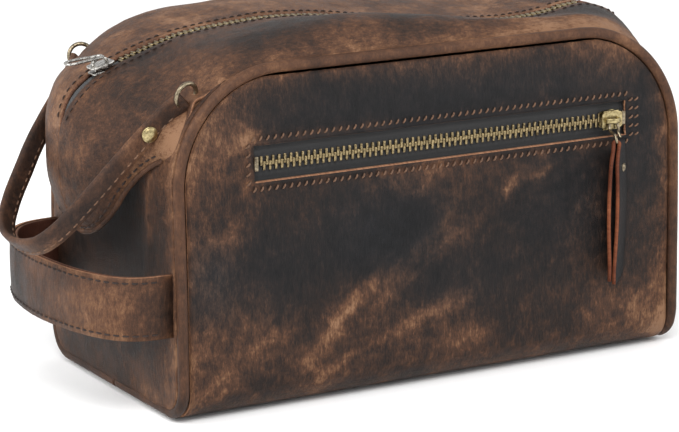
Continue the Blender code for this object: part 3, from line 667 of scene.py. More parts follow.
# ---- body: front, bottom and back ---------------------------------------------------------
def build_body():
    r = 12.5
    zs = list(np.arange(143.4, 115.0 + 1.0, -1.7)) + list(np.linspace(115.0, 99.4, 9)) + list(np.arange(97.8, r, -1.75))
    prof = [(front_y(z), z, 0) for z in zs]
    yb = front_y(0.0)
    for a in np.linspace(0, 90, 10)[0:]:
        prof.append((yb + r - r * math.cos(math.radians(a)), r - r * math.sin(math.radians(a)), 1))
    for y in np.arange(yb + r + 3.6, -(yb + r), 3.6):
        prof.append((y, 0.0, 2))
    for a in np.linspace(90, 0, 8):
        prof.append((-(yb + r) + r * math.cos(math.radians(a)), r - r * math.sin(math.radians(a)), 3))
    for z in np.linspace(r + 2.4, 143.4, 52):
        prof.append((float(back_y(z)), z, 4))
    prof = np.array(prof)
    inner = np.concatenate([np.linspace(SLOT[0], SLOT[1], 101)])
    m_out = 17
    rows, arc = [], []
    n_rows = len(prof)
    for y, z, kind in prof:
        hw = float(half_width(z, CR - 2.6)) - 0.3
        k = min(1.0, (hw - 13.0) / 90.0)
        xin = inner * k
        left = np.linspace(-hw, xin[0], m_out)[:-1]
        right = np.linspace(xin[-1], hw, m_out)[1:]
        x = np.concatenate([left, xin, right])
        rows.append(np.stack([x, np.full_like(x, y), np.full_like(x, z)], 1))
    P = np.array(rows)
    X, Y, Z = P[..., 0], P[..., 1], P[..., 2]
    kind = np.broadcast_to(prof[:, 2][:, None], X.shape)
    t = np.gradient(prof[:, :2], axis=0)
    t /= np.linalg.norm(t, axis=1)[:, None]
    out = np.stack([np.zeros(n_rows), t[:, 1], -t[:, 0]], 1)
    relief = front_relief(X, Z)
    back = 1.3 * (1 - np.exp(-np.maximum(np.minimum(half_width(Z) - np.abs(X), SEAM_H - Z) - 3, 0) / 9.0)) + 0.6 * fbm(np.stack([X, Y, Z], -1), 38, 3, 71)
    flat = 0.0 * X
    bend = sstep(14, 2, Z)
    h = np.where(kind <= 1, relief * (1 - bend), np.where(kind == 2, flat, back * sstep(0.5, 14, Z)))
    # the front's bottom bend: this offset is scaled by zero, so nothing moves
    P = P + (-out)[:, None, :] * 0 + np.where(True, 1, 1) * (out[:, None, :] * -1.0) * 0
    sgn = np.where(prof[:, 2] <= 1, -1.0, 1.0)
    nrm = np.stack([np.zeros(n_rows), np.where(prof[:, 2] <= 1, -np.abs(out[:, 1]), np.where(prof[:, 2] >= 3, np.abs(out[:, 1]), 0)), np.where(prof[:, 2] == 2, -1, -np.abs(out[:, 2]) * (prof[:, 2] % 2 == 1))], 1)
    P = P + nrm[:, None, :] * h[..., None]
    i_top = int(np.argmin(np.abs(prof[:, 1] - SLOT[3]) + 100 * (prof[:, 2] > 0)))
    i_bot = int(np.argmin(np.abs(prof[:, 1] - SLOT[2]) + 100 * (prof[:, 2] > 0)))
    j0, j1 = m_out - 1, m_out - 1 + 100
    keep = lambda i, j: not (i_top <= i < i_bot and j0 <= j < j1)
    # the lower lip is turned out a little, so that its cut edge shows
    P[i_bot, j0 : j1 + 1, 1] -= 0.55
    P[i_top, j0 : j1 + 1, 1] -= 0.25
    tone, blue = front_masks(X, Z)
    Pn = np.stack([X, Y, Z], -1)
    other = 0.03 + 0.20 * fbm(Pn, 45, 4, 90) + 0.25 * np.exp(-np.maximum(np.minimum(half_width(Z) - np.abs(X), SEAM_H - Z), 0) / 6.0)
    other = other + 0.22 * np.exp(-(((Z - 6) / 7.0) ** 2))
    mix = np.where(kind <= 1, sstep(-2, 9, Z), 0.0)
    tone = tone * mix + other * (1 - mix)
    blue = blue * mix + np.clip(fbm(Pn, 50, 3, 12), 0, 1) * (1 - mix)
    o = sheet_obj("body_leather", P, [M_BODY, M_RAW], thickness=1.7, offset=-1, keep=keep, flip=True, bevel=0.0, rim=1)
    # the kept vertices, in order
    used = np.zeros(X.shape, bool)
    n, m = X.shape
    for i in range(n - 1):
        for j in range(m - 1):
            if keep(i, j):
                used[i : i + 2, j : j + 2] = True
    finish_piece(o, tone=tone[used], blue=blue[used])
    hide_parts("body_wrap")
    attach(o, "bag")
    return o


build_body()


# ---- piping -------------------------------------------------------------------------------
def piping_path(s, r=CR + 0.2, step=2.0):
    """Round one face: up one end, over the top and down the other end, and in under the end panels."""
    low, br = 2.5, 12.0
    x = CX + r
    pts = []
    yb = 61.9
    for a in np.linspace(90, 0, 9):
        pts.append((-x, s * (yb - br + br * math.cos(math.radians(a))), low + br - br * math.sin(math.radians(a))))
    start = [(-x, s * v, low) for v in np.arange(0.6, yb - br - 1.0, 3.0)]
    side = [(-x, None, z) for z in np.arange(low + br + 2, CZ, step)]
    top = [(-CX - r * math.cos(a), None, CZ + r * math.sin(a)) for a in np.linspace(0, math.pi / 2, 40)]
    across = [(v, None, CZ + r) for v in np.arange(-CX + step, 0.01, step)]
    half = start + pts + side + top + across
    full = half + [(-a, b, c) for a, b, c in reversed(half) if a < -0.01]
    out = []
    for a, b, c in full:
        yy = b if b is not None else s * (-float(front_y(c)) - 0.3)
        out.append((a, yy, c))
    return np.array(out)


def build_piping(name, s, node):
    path = piping_path(s)
    path = catmull(path[::3], 420)
    jit = fbm(path, 14, 3, 31 + (s > 0))
    r = 2.45
    # a cord under leather: round outside, pinched where it is sewn in
    prof = [(r * math.cos(a) * (1.0 if math.sin(a) > -0.3 else 0.86), r * math.sin(a)) for a in np.linspace(0, 2 * math.pi, 15)[:-1]]
    centre = np.array([0.0, 0.0, 70.0])
    up = np.stack([np.sign(path[:, 0]) * np.clip((np.abs(path[:, 0]) - CX) / CR, 0, 1), np.zeros(len(path)), np.clip((path[:, 2] - CZ) / CR, -0.0, 1)], 1)
    up[:, 0] = np.where(np.linalg.norm(up, axis=1) < 0.2, np.sign(path[:, 0]), up[:, 0])
    bottom = path[:, 2] < 14
    up[bottom] = np.stack([np.sign(path[bottom, 0]), 0 * path[bottom, 0], 0 * path[bottom, 0]], 1)
    o = sweep(name, path, up, prof, M_PIPE, scale=1 + 0.035 * jit)
    co = coords(o)
    tone = 0.10 * fbm(co, 30, 4, 3) + 0.07 * fbm(co, 7, 3, 8) - 0.10 * sstep(20, 6, co[:, 2])
    inner = np.abs(co[:, 1]) > 60.2
    tone = tone - 0.06 * inner
    finish_piece(o, tone=tone)
    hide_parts(node)
    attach(o, "bag")


build_piping("piping_leather_front", -1, "piping_front")
build_piping("piping_leather_back", 1, "piping_back")


# ---- end panels ---------------------------------------------------------------------------
def build_end(side, node):
    END = 125.6
    prof = []
    for z in np.concatenate([np.linspace(3.2, CZ, 50)]):
        prof.append((END, z))
    for a in np.linspace(2, 62, 32):
        prof.append((CX + (CR + 0.7) * math.cos(math.radians(a)), CZ + (CR + 0.7) * math.sin(math.radians(a))))
    prof = np.array(prof)
    n, m = len(prof), 45
    P = np.zeros((n, m, 3))
    for i, (x, z) in enumerate(prof):
        w = float(back_y(z)) - 2.4
        low = max(0.0, 15.0 - z)
        w -= 12.0 - math.sqrt(max(0.0, 144.0 - min(12.0, low) ** 2)) if low > 3 else 0
        y = np.linspace(-w, w, m)
        P[i, :, 0], P[i, :, 1], P[i, :, 2] = side * x, y, z
    X, Y, Z = P[..., 0], P[..., 1], P[..., 2]
    u = Y / 60.0
    bulge = 1.5 * np.clip(1 - u**4, 0, 1) * sstep(3, 25, Z) * sstep(140, 110, Z) + 0.8 * fbm(np.stack([X, Y, Z], -1), 34, 3, 44 if side < 0 else 45)
    bulge *= np.clip((1 - np.abs(u)) * 6, 0, 1)
    ang = np.arctan2(np.maximum(Z - CZ, 0), np.abs(X) - CX)
    P[..., 0] += side * np.cos(ang) * bulge
    P[..., 2] += np.sin(ang) * bulge
    edge = 59.5 - np.abs(Y)
    co = np.stack([X, Y, Z], -1)
    mott = fbm(co, 10, 4, 14)
    tone = -0.06 + 0.34 * np.exp(-np.maximum(edge, 0) / 8.0) * (1 + 0.6 * mott) * np.where(Y < 0, 1.0, 0.6)
    tone += 0.20 * np.exp(-np.maximum(Z - 3, 0) / 10.0) + 0.16 * fbm(co, 40, 4, 22)
    tone += 0.14 * blob(Y, Z, -44, 100, 16, 26)
    # painted shade: darker round the middle of the end, behind and just below the hanging tongue
    tone -= 0.14 * blob(Y, Z, 0, 88, 36, 30)
    # a soft crease down from the tab
    crease = np.exp(-(((Y + 36 + 0.06 * (Z - 70)) / 2.4) ** 2)) * sstep(30, 60, Z) * sstep(120, 100, Z)
    P[..., 0] += side * 0.5 * crease
    tone += 0.10 * crease
    blue = np.clip(fbm(co, 45, 3, 64) + 0.1, 0, 1) * 0.5
    o = sheet_obj("end_leather_left" if side < 0 else "end_leather_right", P, [M_END], thickness=1.7, offset=-1 if side < 0 else 1, flip=side > 0, bevel=0)
    o.modifiers["Thickness"].offset = -1
    finish_piece(o, tone=tone.reshape(-1), blue=blue.reshape(-1))
    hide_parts(node)
    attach(o, "bag")


build_end(-1, "end_panel_left")
build_end(1, "end_panel_right")


# ---- top: two halves that run on past the mouth and hang down each end as one tongue ------
ZIP_X = [-100, -83.5, -54, -34, -19, 7, 38, 54, 75, 93, 104, 112, 121]
ZIP_Z = [152.4, 155.0, 157.3, 156.6, 155.0, 151.6, 147.4, 146.0, 145.0, 146.2, 148.4, 149.2, 147.6]


def zip_z(x):
    return smooth_interp(x, ZIP_X, ZIP_Z)


# ridge from the mouth's end down to the tongue's tip: x, z
RIDGE_L = [(-97, 152.7), (-108, 149.6), (-117, 146.6), (-129, 142.4), (-138, 137.4), (-144.5, 131.5), (-149, 124), (-151.2, 114), (-151.6, 102), (-150.4, 91), (-147.5, 81.5), (-143.6, 74.5), (-141.5, 72.8)]
# its edge: first beside the piping, then across the end panel and round the tongue: x, y, z
EDGE_L = [(-97, -56.2, 142.6), (-104, -56.4, 138.8), (-111, -56.7, 133), (-117.5, -57, 125.5), (-122.3, -57.2, 117.4), (-124.6, -54.5, 112.6), (-126.6, -49.0, 111.0), (-128.6, -42.0, 107.5), (-131.5, -36, 102.5), (-136, -31.5, 95), (-139.2, -27.0, 86.5), (-141.4, -18, 78.2), (-141.8, -8.5, 74.0), (-141.5, 0.0, 72.6)]
RIDGE_R = [(97, 147.0), (104, 148.6), (112, 149.4), (120, 148.2), (129, 144.6), (135.5, 140.4), (139.8, 135.0), (142, 129), (142.6, 120), (141.8, 110), (139.5, 99), (136.4, 90.5), (133.6, 85.5), (132.4, 84.2)]
EDGE_R = [(97, -56.2, 142.6), (104, -56.4, 138.8), (111, -56.7, 133), (117.5, -57, 125.5), (122.3, -57.2, 117.4), (124.6, -54.5, 112.6), (126.6, -49.0, 111.0), (128.4, -42.0, 107.5), (130.0, -36, 103), (131.4, -31.0, 98), (132.2, -26.0, 92.5), (132.6, -18, 87.2), (132.5, -8.5, 84.6), (132.4, 0.0, 84.0)]
SLIT_L, SLIT_R = 0.60, 0.40     # share of each end's length that the zip's slit runs on for


def half_top(s, node, tab_halves):
    """One half of the top as a grid: rows from the left tongue's tip to the right one's, columns from the ridge to the edge."""
    front = s < 0
    nl, nr, nm, m = 46, 40, 98, 34
    rl, el = catmull(RIDGE_L, nl)[::-1], catmull(EDGE_L, nl)[::-1]
    rr, er = catmull(RIDGE_R, nr), catmull(EDGE_R, nr)
    xm = np.linspace(-97, 97, nm)[1:-1]
    R = np.vstack([np.c_[rl[:, 0], 0 * rl[:, 0], rl[:, 1]], np.c_[xm, 0 * xm, zip_z(xm)], np.c_[rr[:, 0], 0 * rr[:, 0], rr[:, 1]]])
    E = np.vstack([el, np.c_[xm, np.full_like(xm, -56.2), seam_z(xm, CR + 0.2) - 0.4], er])
    n = len(R)
    tl = np.linspace(1, 0, nl)
    tr = np.linspace(0, 1, nr)
    past_l = np.concatenate([tl, np.zeros(nm - 2 + nr)])       # share of the way down each end
    past_r = np.concatenate([np.zeros(nl + nm - 2), tr])
    past = np.maximum(past_l, past_r)
    slit = np.where(past_l > 0, past_l / SLIT_L, past_r / SLIT_R)
    gap = 3.3 * (1 - sstep(0.72, 1.0, slit))
    gap = np.where(slit >= 1.0, 0.0, gap)
    # outward direction of each row, in the x, z plane
    t = np.gradient(R, axis=0)
    t /= np.maximum(np.linalg.norm(t, axis=1), 1e-6)[:, None]
    out = np.stack([-t[:, 2], np.zeros(n), t[:, 0]], 1)
    V = np.zeros((n, m, 3))
    v = np.linspace(0, 1, m)[:, None]
    x = R[:, 0]
    # extra height of the soft crest beside the piping
    if front:
        crest = smooth_interp(x, [-125, -100, -75, -59, -48, -24, 5, 25, 41, 61, 78, 91, 102, 110, 125], [0, 2.0, 4.6, 6.8, 9.0, 11.0, 10.8, 10.3, 9.0, 8.2, 7.6, 7.0, 5.0, 3.0, 0])
    else:
        crest = smooth_interp(x, [-125, -100, -75, 0, 75, 100, 125], [1.0, 4.0, 5.5, 5.0, 4.2, 3.0, 0])
    crest = np.where(past > 0.35, 0, crest * (1 - sstep(0.12, 0.35, past)))
    for i in range(n):
        P0, P3 = R[i].copy(), E[i].copy()
        width = -P3[1]
        d = (P0 - P3).dot(out[i])
        cv = 1.0 if past_r[i] == 0 else 1.0 - 0.80 * float(sstep(0.0, 0.30, past_r[i]))
        if front and past_l[i] > 0:
            cv = 1.0 - 0.55 * float(sstep(0.0, 0.12, past_l[i]) * (1 - sstep(0.42, 0.62, past_l[i])))
        if x[i] > 60:
            cv = min(cv, 1.0 - 0.45 * float(sstep(60, 97, x[i])))
        P1 = P0 + np.array([0, -(0.30 + 0.12 * cv) * width, 0]) + out[i] * (0.02 * width * cv) - out[i] * ((1 - cv) * 0.22 * d)
        P2 = P3 + out[i] * ((0.12 + 0.66 * cv) * d) + np.array([0, 0.10 * width * (2 - cv), 0])
        P2 = P2 + np.array([0, 1.0, 1.75]) * crest[i] * np.array([0, 0.25, 1])
        if not front and past[i] < 0.2:
            P1 = P1 + np.array([0, 0, 2.2])
        V[i] = (1 - v) ** 3 * P0 + 3 * (1 - v) ** 2 * v * P1 + 3 * (1 - v) * v**2 * P2 + v**3 * P3
        g = gap[i]
        if g > 0:
            y = V[i, :, 1]
            V[i, :, 1] = -g + y * (width - g) / max(width, 1e-6)
    # wrinkles and softness
    X, Y, Z = V[..., 0], V[..., 1], V[..., 2]
    q = np.stack([X, Y * (1 if front else -1), Z], -1)
    soft = 0.9 * fbm(q, 30, 3, 51 if front else 52) + 0.28 * fbm(q * np.array([0.45, 1, 1]), 8, 3, 53)
    if front:
        # two long soft rolls beside the piping, to the right of the middle
        soft = soft + 0.9 * np.exp(-(((Y + 47.5 - 0.02 * X) / 1.6) ** 2)) * sstep(10, 40, X) * sstep(118, 96, X)
        soft = soft - 0.8 * np.exp(-(((Y + 44.0 - 0.02 * X) / 1.5) ** 2)) * sstep(20, 50, X) * sstep(116, 94, X)
    fade = np.clip((1 - v[:, 0]) * 7, 0, 1)[None, :] * np.clip(v[:, 0] * 9 + 0.15, 0, 1)[None, :] * sstep(1.0, 0.93, past)[:, None]
    V = V + out[:, None, :] * (soft * fade)[..., None]
    if not front:
        V[..., 1] *= -1
    edge_d = np.linalg.norm(V - V[:, -1:, :], axis=2)
    tip = np.minimum(np.abs(np.arange(n)), np.abs(n - 1 - np.arange(n)))[:, None] * 2.0
    edge_d = np.minimum(edge_d, np.where(past[:, None] > 0.6, tip, 99))
    mott = fbm(V, 9, 4, 61)
    tone = -0.02 + 0.22 * fbm(V, 38, 4, 62 if front else 63)
    tone += np.where(past[:, None] < 0.35, 0.30, 0.06) * np.exp(-edge_d / 7.0) * (1 + 0.6 * mott)
    tone += 0.10 * np.exp(-np.abs(V[..., 1] / 4.5)) * (1 + mott)
    if front:
        tone += 0.26 * sstep(20, 70, V[..., 0]) * sstep(-30, -50, V[..., 1]) * sstep(0.3, 0.0, past)[:, None]
        tone -= 0.16 * blob(V[..., 0], V[..., 1], -60, -30, 45, 16)
        tone += 0.30 * blob(V[..., 2], V[..., 1], 122, -52, 16, 9) * (past_l > 0)[:, None]
    else:
        tone += 0.16 * (past[:, None] < 0.6)
    wing_r = sstep(93, 104, V[..., 0])
    tone += wing_r * (0.26 * np.exp(-((np.abs(V[..., 1]) / 4.2) ** 2)) - 0.24 * sstep(4.5, 8.5, np.abs(V[..., 1])) * sstep(40, 26, np.abs(V[..., 1])))
    # the tongue: drier along its rolled edge
    tone += 0.20 * (past[:, None] > 0.5) * np.exp(-edge_d / 2.6) + 0.08 * sstep(0.3, 0.5, past)[:, None]
    blue = np.clip(0.35 + fbm(V, 40, 3, 65), 0, 1) * 0.55
    name = "top_leather_front" if front else "top_leather_back"
    o = sheet_obj(name, V, [M_TOP, M_RAW_DARK], thickness=1.5, offset=-1, flip=not front, bevel=0.0, rim=1)
    attr_n = V.reshape(-1, 3)
    finish_piece(o, tone=tone.reshape(-1), blue=blue.reshape(-1))
    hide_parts(node, *tab_halves)
    return o, V, out, past, past_l, past_r


def mouth_weight(x, limit=MOUTH):
    """How far each place along the mouth opens: an eye shape that stays shut at its corners."""
    u = np.clip(np.abs(np.asarray(x, float)) / limit, 0, 1)
    return (1 - u**2.2) ** 0.8


def blend_mouth(o):
    """Bakes o's transform into its mesh and works out a weight, most at the middle of the mouth; the weight is not used
    further.
    """
    co = coords(o)
    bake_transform(o)
    w = mouth_weight(co[:, 0]) * (np.abs(co[:, 0]) < MOUTH)
    # the weight falls off to zero over the strip beside the piping
    w = w * sstep(57.2, 50.5, np.abs(co[:, 1]))


top_f, VF, OUTF, PAST, PAST_L, PAST_R = half_top(-1, "top_panel_front", ["zip_tab_left"])
top_b, VB, OUTB, _, _, _ = half_top(1, "top_panel_back", ["zip_tab_right"])
TOPS = [(top_f, -1), (top_b, 1)]


def along(V, i, j):
    return V[i, j]


# the rolled leather edge round each tongue
for side, past in (("left", PAST_L), ("right", PAST_R)):
    rows = [i for i in range(len(past)) if past[i] > 0.40]
    rows = sorted(rows, key=lambda i: past[i])
    pf, pb = VF[rows, -1], VB[rows, -1]
    path = catmull([tuple(p) for p in np.vstack([pf, pb[::-1][1:]])[::2]], 130)
    up = np.array([-1.0 if side == "left" else 1.0, 0, 0.25])
    o = sweep(f"tongue_edge_{side}", path, up, circle(1.25, 10), [M_PIPE])
    finish_piece(o, tone=-0.10 + 0.20 * fbm(coords(o), 12, 3, 66))
    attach(o, "bag")


# stitches: beside the zip, and round the edge of each end and its tongue
def top_stitches(V, s, tag):
    n, m, _ = V.shape
    nrm = np.cross(np.gradient(V, axis=0), np.gradient(V, axis=1))
    nrm /= np.maximum(np.linalg.norm(nrm, axis=2), 1e-9)[..., None]
    centre = np.array([0, 0, 60.0])
    flip = np.sign(((V - centre) * nrm).sum(2))
    nrm = nrm * flip[..., None]

    def row(points, normals, name, blend, **kw):
        o = stitch_row(name, points, normals, None, [M_THREAD_DARK], **kw)
        if blend:
            return (o, s)
        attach(o, "bag")
        return None

    def inset(i, dist, from_edge):
        seq = V[i, ::-1] if from_edge else V[i]
        nn = nrm[i, ::-1] if from_edge else nrm[i]
        d = np.concatenate([[0], np.cumsum(np.linalg.norm(np.diff(seq, axis=0), axis=1))])
        d[-1] = max(d[-1], dist + 1e-3)
        return np.array([np.interp(dist, d, seq[:, k]) for k in range(3)]), np.array([np.interp(dist, d, nn[:, k]) for k in range(3)])

    out = []
    mouth = [i for i in range(n) if PAST[i] == 0]
    got = [inset(i, 3.0, False) for i in mouth]
    out.append(row([g[0] for g in got], [g[1] for g in got], f"stitch_zip_{tag}", True, spacing=3.8, length=2.5, radius=0.38, lift=0.2))
    for side, past, lim in (("left", PAST_L, SLIT_L), ("right", PAST_R, SLIT_R)):
        rows = [i for i in range(n) if 0 < past[i] < lim * 0.96]
        got = [inset(i, 3.0, False) for i in rows]
        row([g[0] for g in got], [g[1] for g in got], f"stitch_zip_{side}_{tag}", False, spacing=3.8, length=2.5, radius=0.38, lift=0.2)
        rows = [i for i in range(n) if 0.40 < past[i] < 0.965]
        got = [inset(i, 3.2, True) for i in rows]
        row([g[0] for g in got], [g[1] for g in got], f"stitch_tongue_{side}_{tag}", False, spacing=3.9, length=2.7, radius=0.42, lift=0.25)
    return [x for x in out if x]


BLENDS = TOPS + top_stitches(VF, -1, "front") + top_stitches(VB, 1, "back")


# ---- main zip: tapes, teeth and end tapes -------------------------------------------------
def ridge_point(x):
    """Zip line: ridge height at x, over the mouth and its ends."""
    xs = np.concatenate([np.array(RIDGE_L)[::-1][5:, 0], np.linspace(-95, 95, 60), np.array(RIDGE_R)[:6, 0]])
    zs = np.concatenate([np.array(RIDGE_L)[::-1][5:, 1], zip_z(np.linspace(-95, 95, 60)), np.array(RIDGE_R)[:6, 1]])
    return np.interp(x, xs, zs)


def zip_tape(s, tag, node):
    x = np.linspace(-96, 96, 97)
    ys = np.array([0.9, 2.2, 4.5, 7.5, 11.0])
    drop = np.array([1.5, 1.7, 2.6, 3.1, 3.6])
    V = np.stack([np.stack([x, np.full_like(x, s * y), ridge_point(x) - d], 1) for y, d in zip(ys, drop)], 1)
    o = sheet_obj(f"zip_tape_{tag}", V, [M_TAPE], thickness=0.7, offset=0, flip=s > 0, bevel=0)
    finish_piece(o)
    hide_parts(node)
    BLENDS.append((o, s))


zip_tape(-1, "front", "main_tape_front")
zip_tape(1, "back", "main_tape_back")


def tooth_mesh():
    """One zip tooth: a rounded bar with a nose that locks over its neighbours."""
    k, r = 8, []
    prof = [(-2.05, 0.50, 0.42), (-1.75, 0.62, 0.55), (-0.6, 0.62, 0.62), (0.5, 0.62, 0.66), (1.25, 0.70, 0.70), (1.75, 0.66, 0.66), (2.02, 0.42, 0.42)]
    V, F = [], []
    for a, w, h in prof:
        for t in range(k):
            c, s = math.cos(2 * math.pi * (t + 0.5) / k), math.sin(2 * math.pi * (t + 0.5) / k)
            q = 0.55
            V.append((w * math.copysign(abs(c) ** q, c), a, h * math.copysign(abs(s) ** q, s)))
    for i in range(len(prof) - 1):
        for t in range(k):
            F.append((i * k + t, i * k + (t + 1) % k, (i + 1) * k + (t + 1) % k, (i + 1) * k + t))
    F.append(tuple(reversed(range(k))))
    F.append(tuple((len(prof) - 1) * k + t for t in range(k)))
    return np.array(V), F


TOOTH_V, TOOTH_F = tooth_mesh()


def teeth(name, centres, along_dirs, ups, side, mat):
    """Teeth at the centres; each noses across the zip line, towards -side."""
    V, F = [], []
    for c, a, u in zip(centres, along_dirs, ups):
        a = a / np.linalg.norm(a)
        u = u - u.dot(a) * a
        u = u / np.linalg.norm(u)
        across = np.cross(u, a) * -side
        base = len(V)
        for p in TOOTH_V:
            V.append(c + a * p[0] - across * p[1] * -1.0 + u * p[2])
        F += [tuple(base + q for q in f) for f in TOOTH_F]
    o = new_obj(name, np.array(V), F, mat)
    bm = bmesh.new()
    bm.from_mesh(o.data)
    bmesh.ops.recalc_face_normals(bm, faces=bm.faces)
    bm.to_mesh(o.data)
    bm.free()
    return finish_piece(o)


def main_teeth(s, tag, node):
    pitch = 2.8
    phase = 0.0 if s < 0 else pitch / 2
    x = np.arange(-122 + phase, 118, pitch)
    for part, sel in (("mouth", np.abs(x) <= 96), ("left", x < -96), ("right", x > 96)):
        xx = x[sel]
        if part == "right":
            xx = xx[xx < 112]
        if part == "left":
            xx = xx[xx > -124]
        if len(xx) == 0:
            continue
        z = ridge_point(xx)
        dz = (ridge_point(xx + 1) - ridge_point(xx - 1)) / 2
        a = np.stack([np.ones_like(xx), 0 * xx, dz], 1)
        c = np.stack([xx, np.full_like(xx, s * 1.35), z - 0.55], 1)
        u = np.tile([0.0, 0.0, 1.0], (len(xx), 1))
        o = teeth(f"zip_teeth_{tag}_{part}", c, a, u, s, M_TEETH)
        if part == "mouth":
            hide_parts(node)
            BLENDS.append((o, s))
        else:
            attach(o, "bag")


main_teeth(-1, "front", "main_teeth_front")
main_teeth(1, "back", "main_teeth_back")


def end_tape(side):
    """The zip's tape where it runs on past the mouth."""
    if side < 0:
        path = catmull([(x, z) for x, z in RIDGE_L if x > -151.5][:8], 40)
    else:
        path = catmull(RIDGE_R[:7], 36)
    P3 = np.stack([path[:, 0], 0 * path[:, 0], path[:, 1]], 1)
    t = np.gradient(P3, axis=0)
    t /= np.linalg.norm(t, axis=1)[:, None]
    nn = np.stack([-t[:, 2], 0 * t[:, 0], t[:, 0]], 1) * (-side)
    nn *= np.sign(nn[:, 2:3] + 1e-9)
    ys = np.array([-6.5, -3.2, -1.0, 1.0, 3.2, 6.5])
    dd = np.array([2.9, 2.0, 1.5, 1.5, 2.0, 2.9]) + (2.0 if side > 0 else 0.0)
    V = P3[:, None, :] + np.stack([0 * ys, ys, 0 * ys], 1)[None] - nn[:, None, :] * dd[None, :, None]
    o = sheet_obj("zip_end_tape_left" if side < 0 else "zip_end_tape_right", V, [M_TAPE], thickness=0.6, offset=0, bevel=0)
    finish_piece(o)
    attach(o, "bag")


end_tape(-1)
end_tape(1)

for o, s in BLENDS:
    blend_mouth(o)


# ---- front pocket: tapes, teeth, stitches, stops, slider and pull ---------------------------
ZC = 107.2


def pocket_tape(s, node, name, body):
    x = np.linspace(-93.5, 102.0, 84)
    zz = np.array([0.5, 1.6, 3.2, 5.2, 7.0, 8.6, 11.0, 13.4])
    yy = np.array([-58.4, -58.3, -57.4, -57.25, -57.2, -57.15, -57.1, -57.1])
    V = np.stack([np.stack([x, np.full_like(x, y), np.full_like(x, ZC + s * z)], 1) for z, y in zip(zz, yy)], 1)
    o = sheet_obj(name, V, [M_TAPE], thickness=0.5, offset=0, flip=s > 0, bevel=0)
    finish_piece(o)
    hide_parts(node)
    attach(o, body)


pocket_tape(1, "pocket_tape_upper", "pocket_tape_cloth_upper", "pocket_lip_upper")
pocket_tape(-1, "pocket_tape_lower", "pocket_tape_cloth_lower", "pocket_lip_lower")


def pocket_teeth(s, node, name, body):
    pitch = 2.85
    x = np.arange(-86.5 + (pitch / 2 if s < 0 else 0), 97.0, pitch)
    c = np.stack([x, np.full_like(x, -59.35), np.full_like(x, ZC + s * 1.05)], 1)
    a = np.tile([1.0, 0, 0], (len(x), 1))
    u = np.tile([0, -1.0, 0], (len(x), 1))
    o = teeth(name, c, a, u, s, M_TEETH)
    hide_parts(node)
    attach(o, body)


pocket_teeth(1, "pocket_teeth_upper", "pocket_zip_teeth_upper", "pocket_lip_upper")
pocket_teeth(-1, "pocket_teeth_lower", "pocket_zip_teeth_lower", "pocket_lip_lower")


def pocket_stitches():
    x0, x1, z0, z1, d = SLOT[0], SLOT[1], SLOT[2], SLOT[3], 2.9
    ly = lambda z: float(front_y(z)) - 0.15
    up = [(x, ly(z1 + d), z1 + d) for x in np.linspace(x0 - 2, x1 + 2, 60)]
    dn = [(x, ly(z0 - d) - 0.35, z0 - d) for x in np.linspace(x0 - 2, x1 + 2, 60)]
    le = [(x0 - d, ly(z), z) for z in np.linspace(z0 - 2, z1 + 2, 12)]
    ri = [(x1 + d, ly(z), z) for z in np.linspace(z0 - 2, z1 + 2, 12)]
    le2 = [(x1 + d + 3.0, ly(z), z) for z in np.linspace(z0 - 2, z1 + 2, 12)]
    for k, p, dirn, lift in (("upper", up, (0.55, 0, 0.83), 0.75), ("lower", dn, (0.55, 0, 0.83), 0.55), ("left", le, (0.83, 0, 0.55), 0.75), ("right", ri, (0.83, 0, 0.55), 0.75), ("right_outer", le2, (0.83, 0, 0.55), 0.75)):
        p = np.array(p)
        s = np.concatenate([[0], np.cumsum(np.linalg.norm(np.diff(p, axis=0), axis=1))])
        count = int(s[-1] / 3.5)
        q = (np.arange(count) + 0.5) * s[-1] / count
        c = np.stack([np.interp(q, s, p[:, j]) for j in range(3)], 1) + np.array([0, -lift, 0])
        o = capsules(f"stitch_pocket_{k}", c, np.tile(np.array(dirn), (count, 1)), np.tile(np.array([0, -1.0, 0]), (count, 1)), 1.25, 0.46, [M_THREAD], arch=0.5)
        finish_piece(o)
        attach(o, "bag")


pocket_stitches()


def rounded_box(name, size, mats, r=0.4, seg=2, taper=None):
    """A softened block centred on the origin, in mm."""
    bm = bmesh.new()
    bmesh.ops.create_cube(bm, size=1.0)
    for v in bm.verts:
        v.co = Vector((v.co.x * size[0], v.co.y * size[1], v.co.z * size[2])) * MM
        if taper:
            v.co = Vector(taper(v.co.x / MM, v.co.y / MM, v.co.z / MM)) * MM
    bmesh.ops.bevel(bm, geom=list(bm.edges), offset=r * MM, segments=seg, affect="EDGES", profile=0.6)
    me = bpy.data.meshes.new(name)
    bm.to_mesh(me)
    bm.free()
    for p in me.polygons:
        p.use_smooth = True
    o = bpy.data.objects.new(name, me)
    bpy.context.scene.collection.objects.link(o)
    for m in mats:
        me.materials.append(m)
    return o


def place(o, origin, ex, ey, ez):
    """Writes the mesh's points into the shared frame: origin and axes in mm."""
    n = len(o.data.vertices)
    co = np.empty(n * 3)
    o.data.vertices.foreach_get("co", co)
    co = co.reshape(-1, 3) / MM
    out = np.asarray(origin, float) + co @ np.array([ex, ey, ez], float)
    o.data.vertices.foreach_set("co", (out * MM).ravel().astype(np.float32))
    o.data.update()
    return o


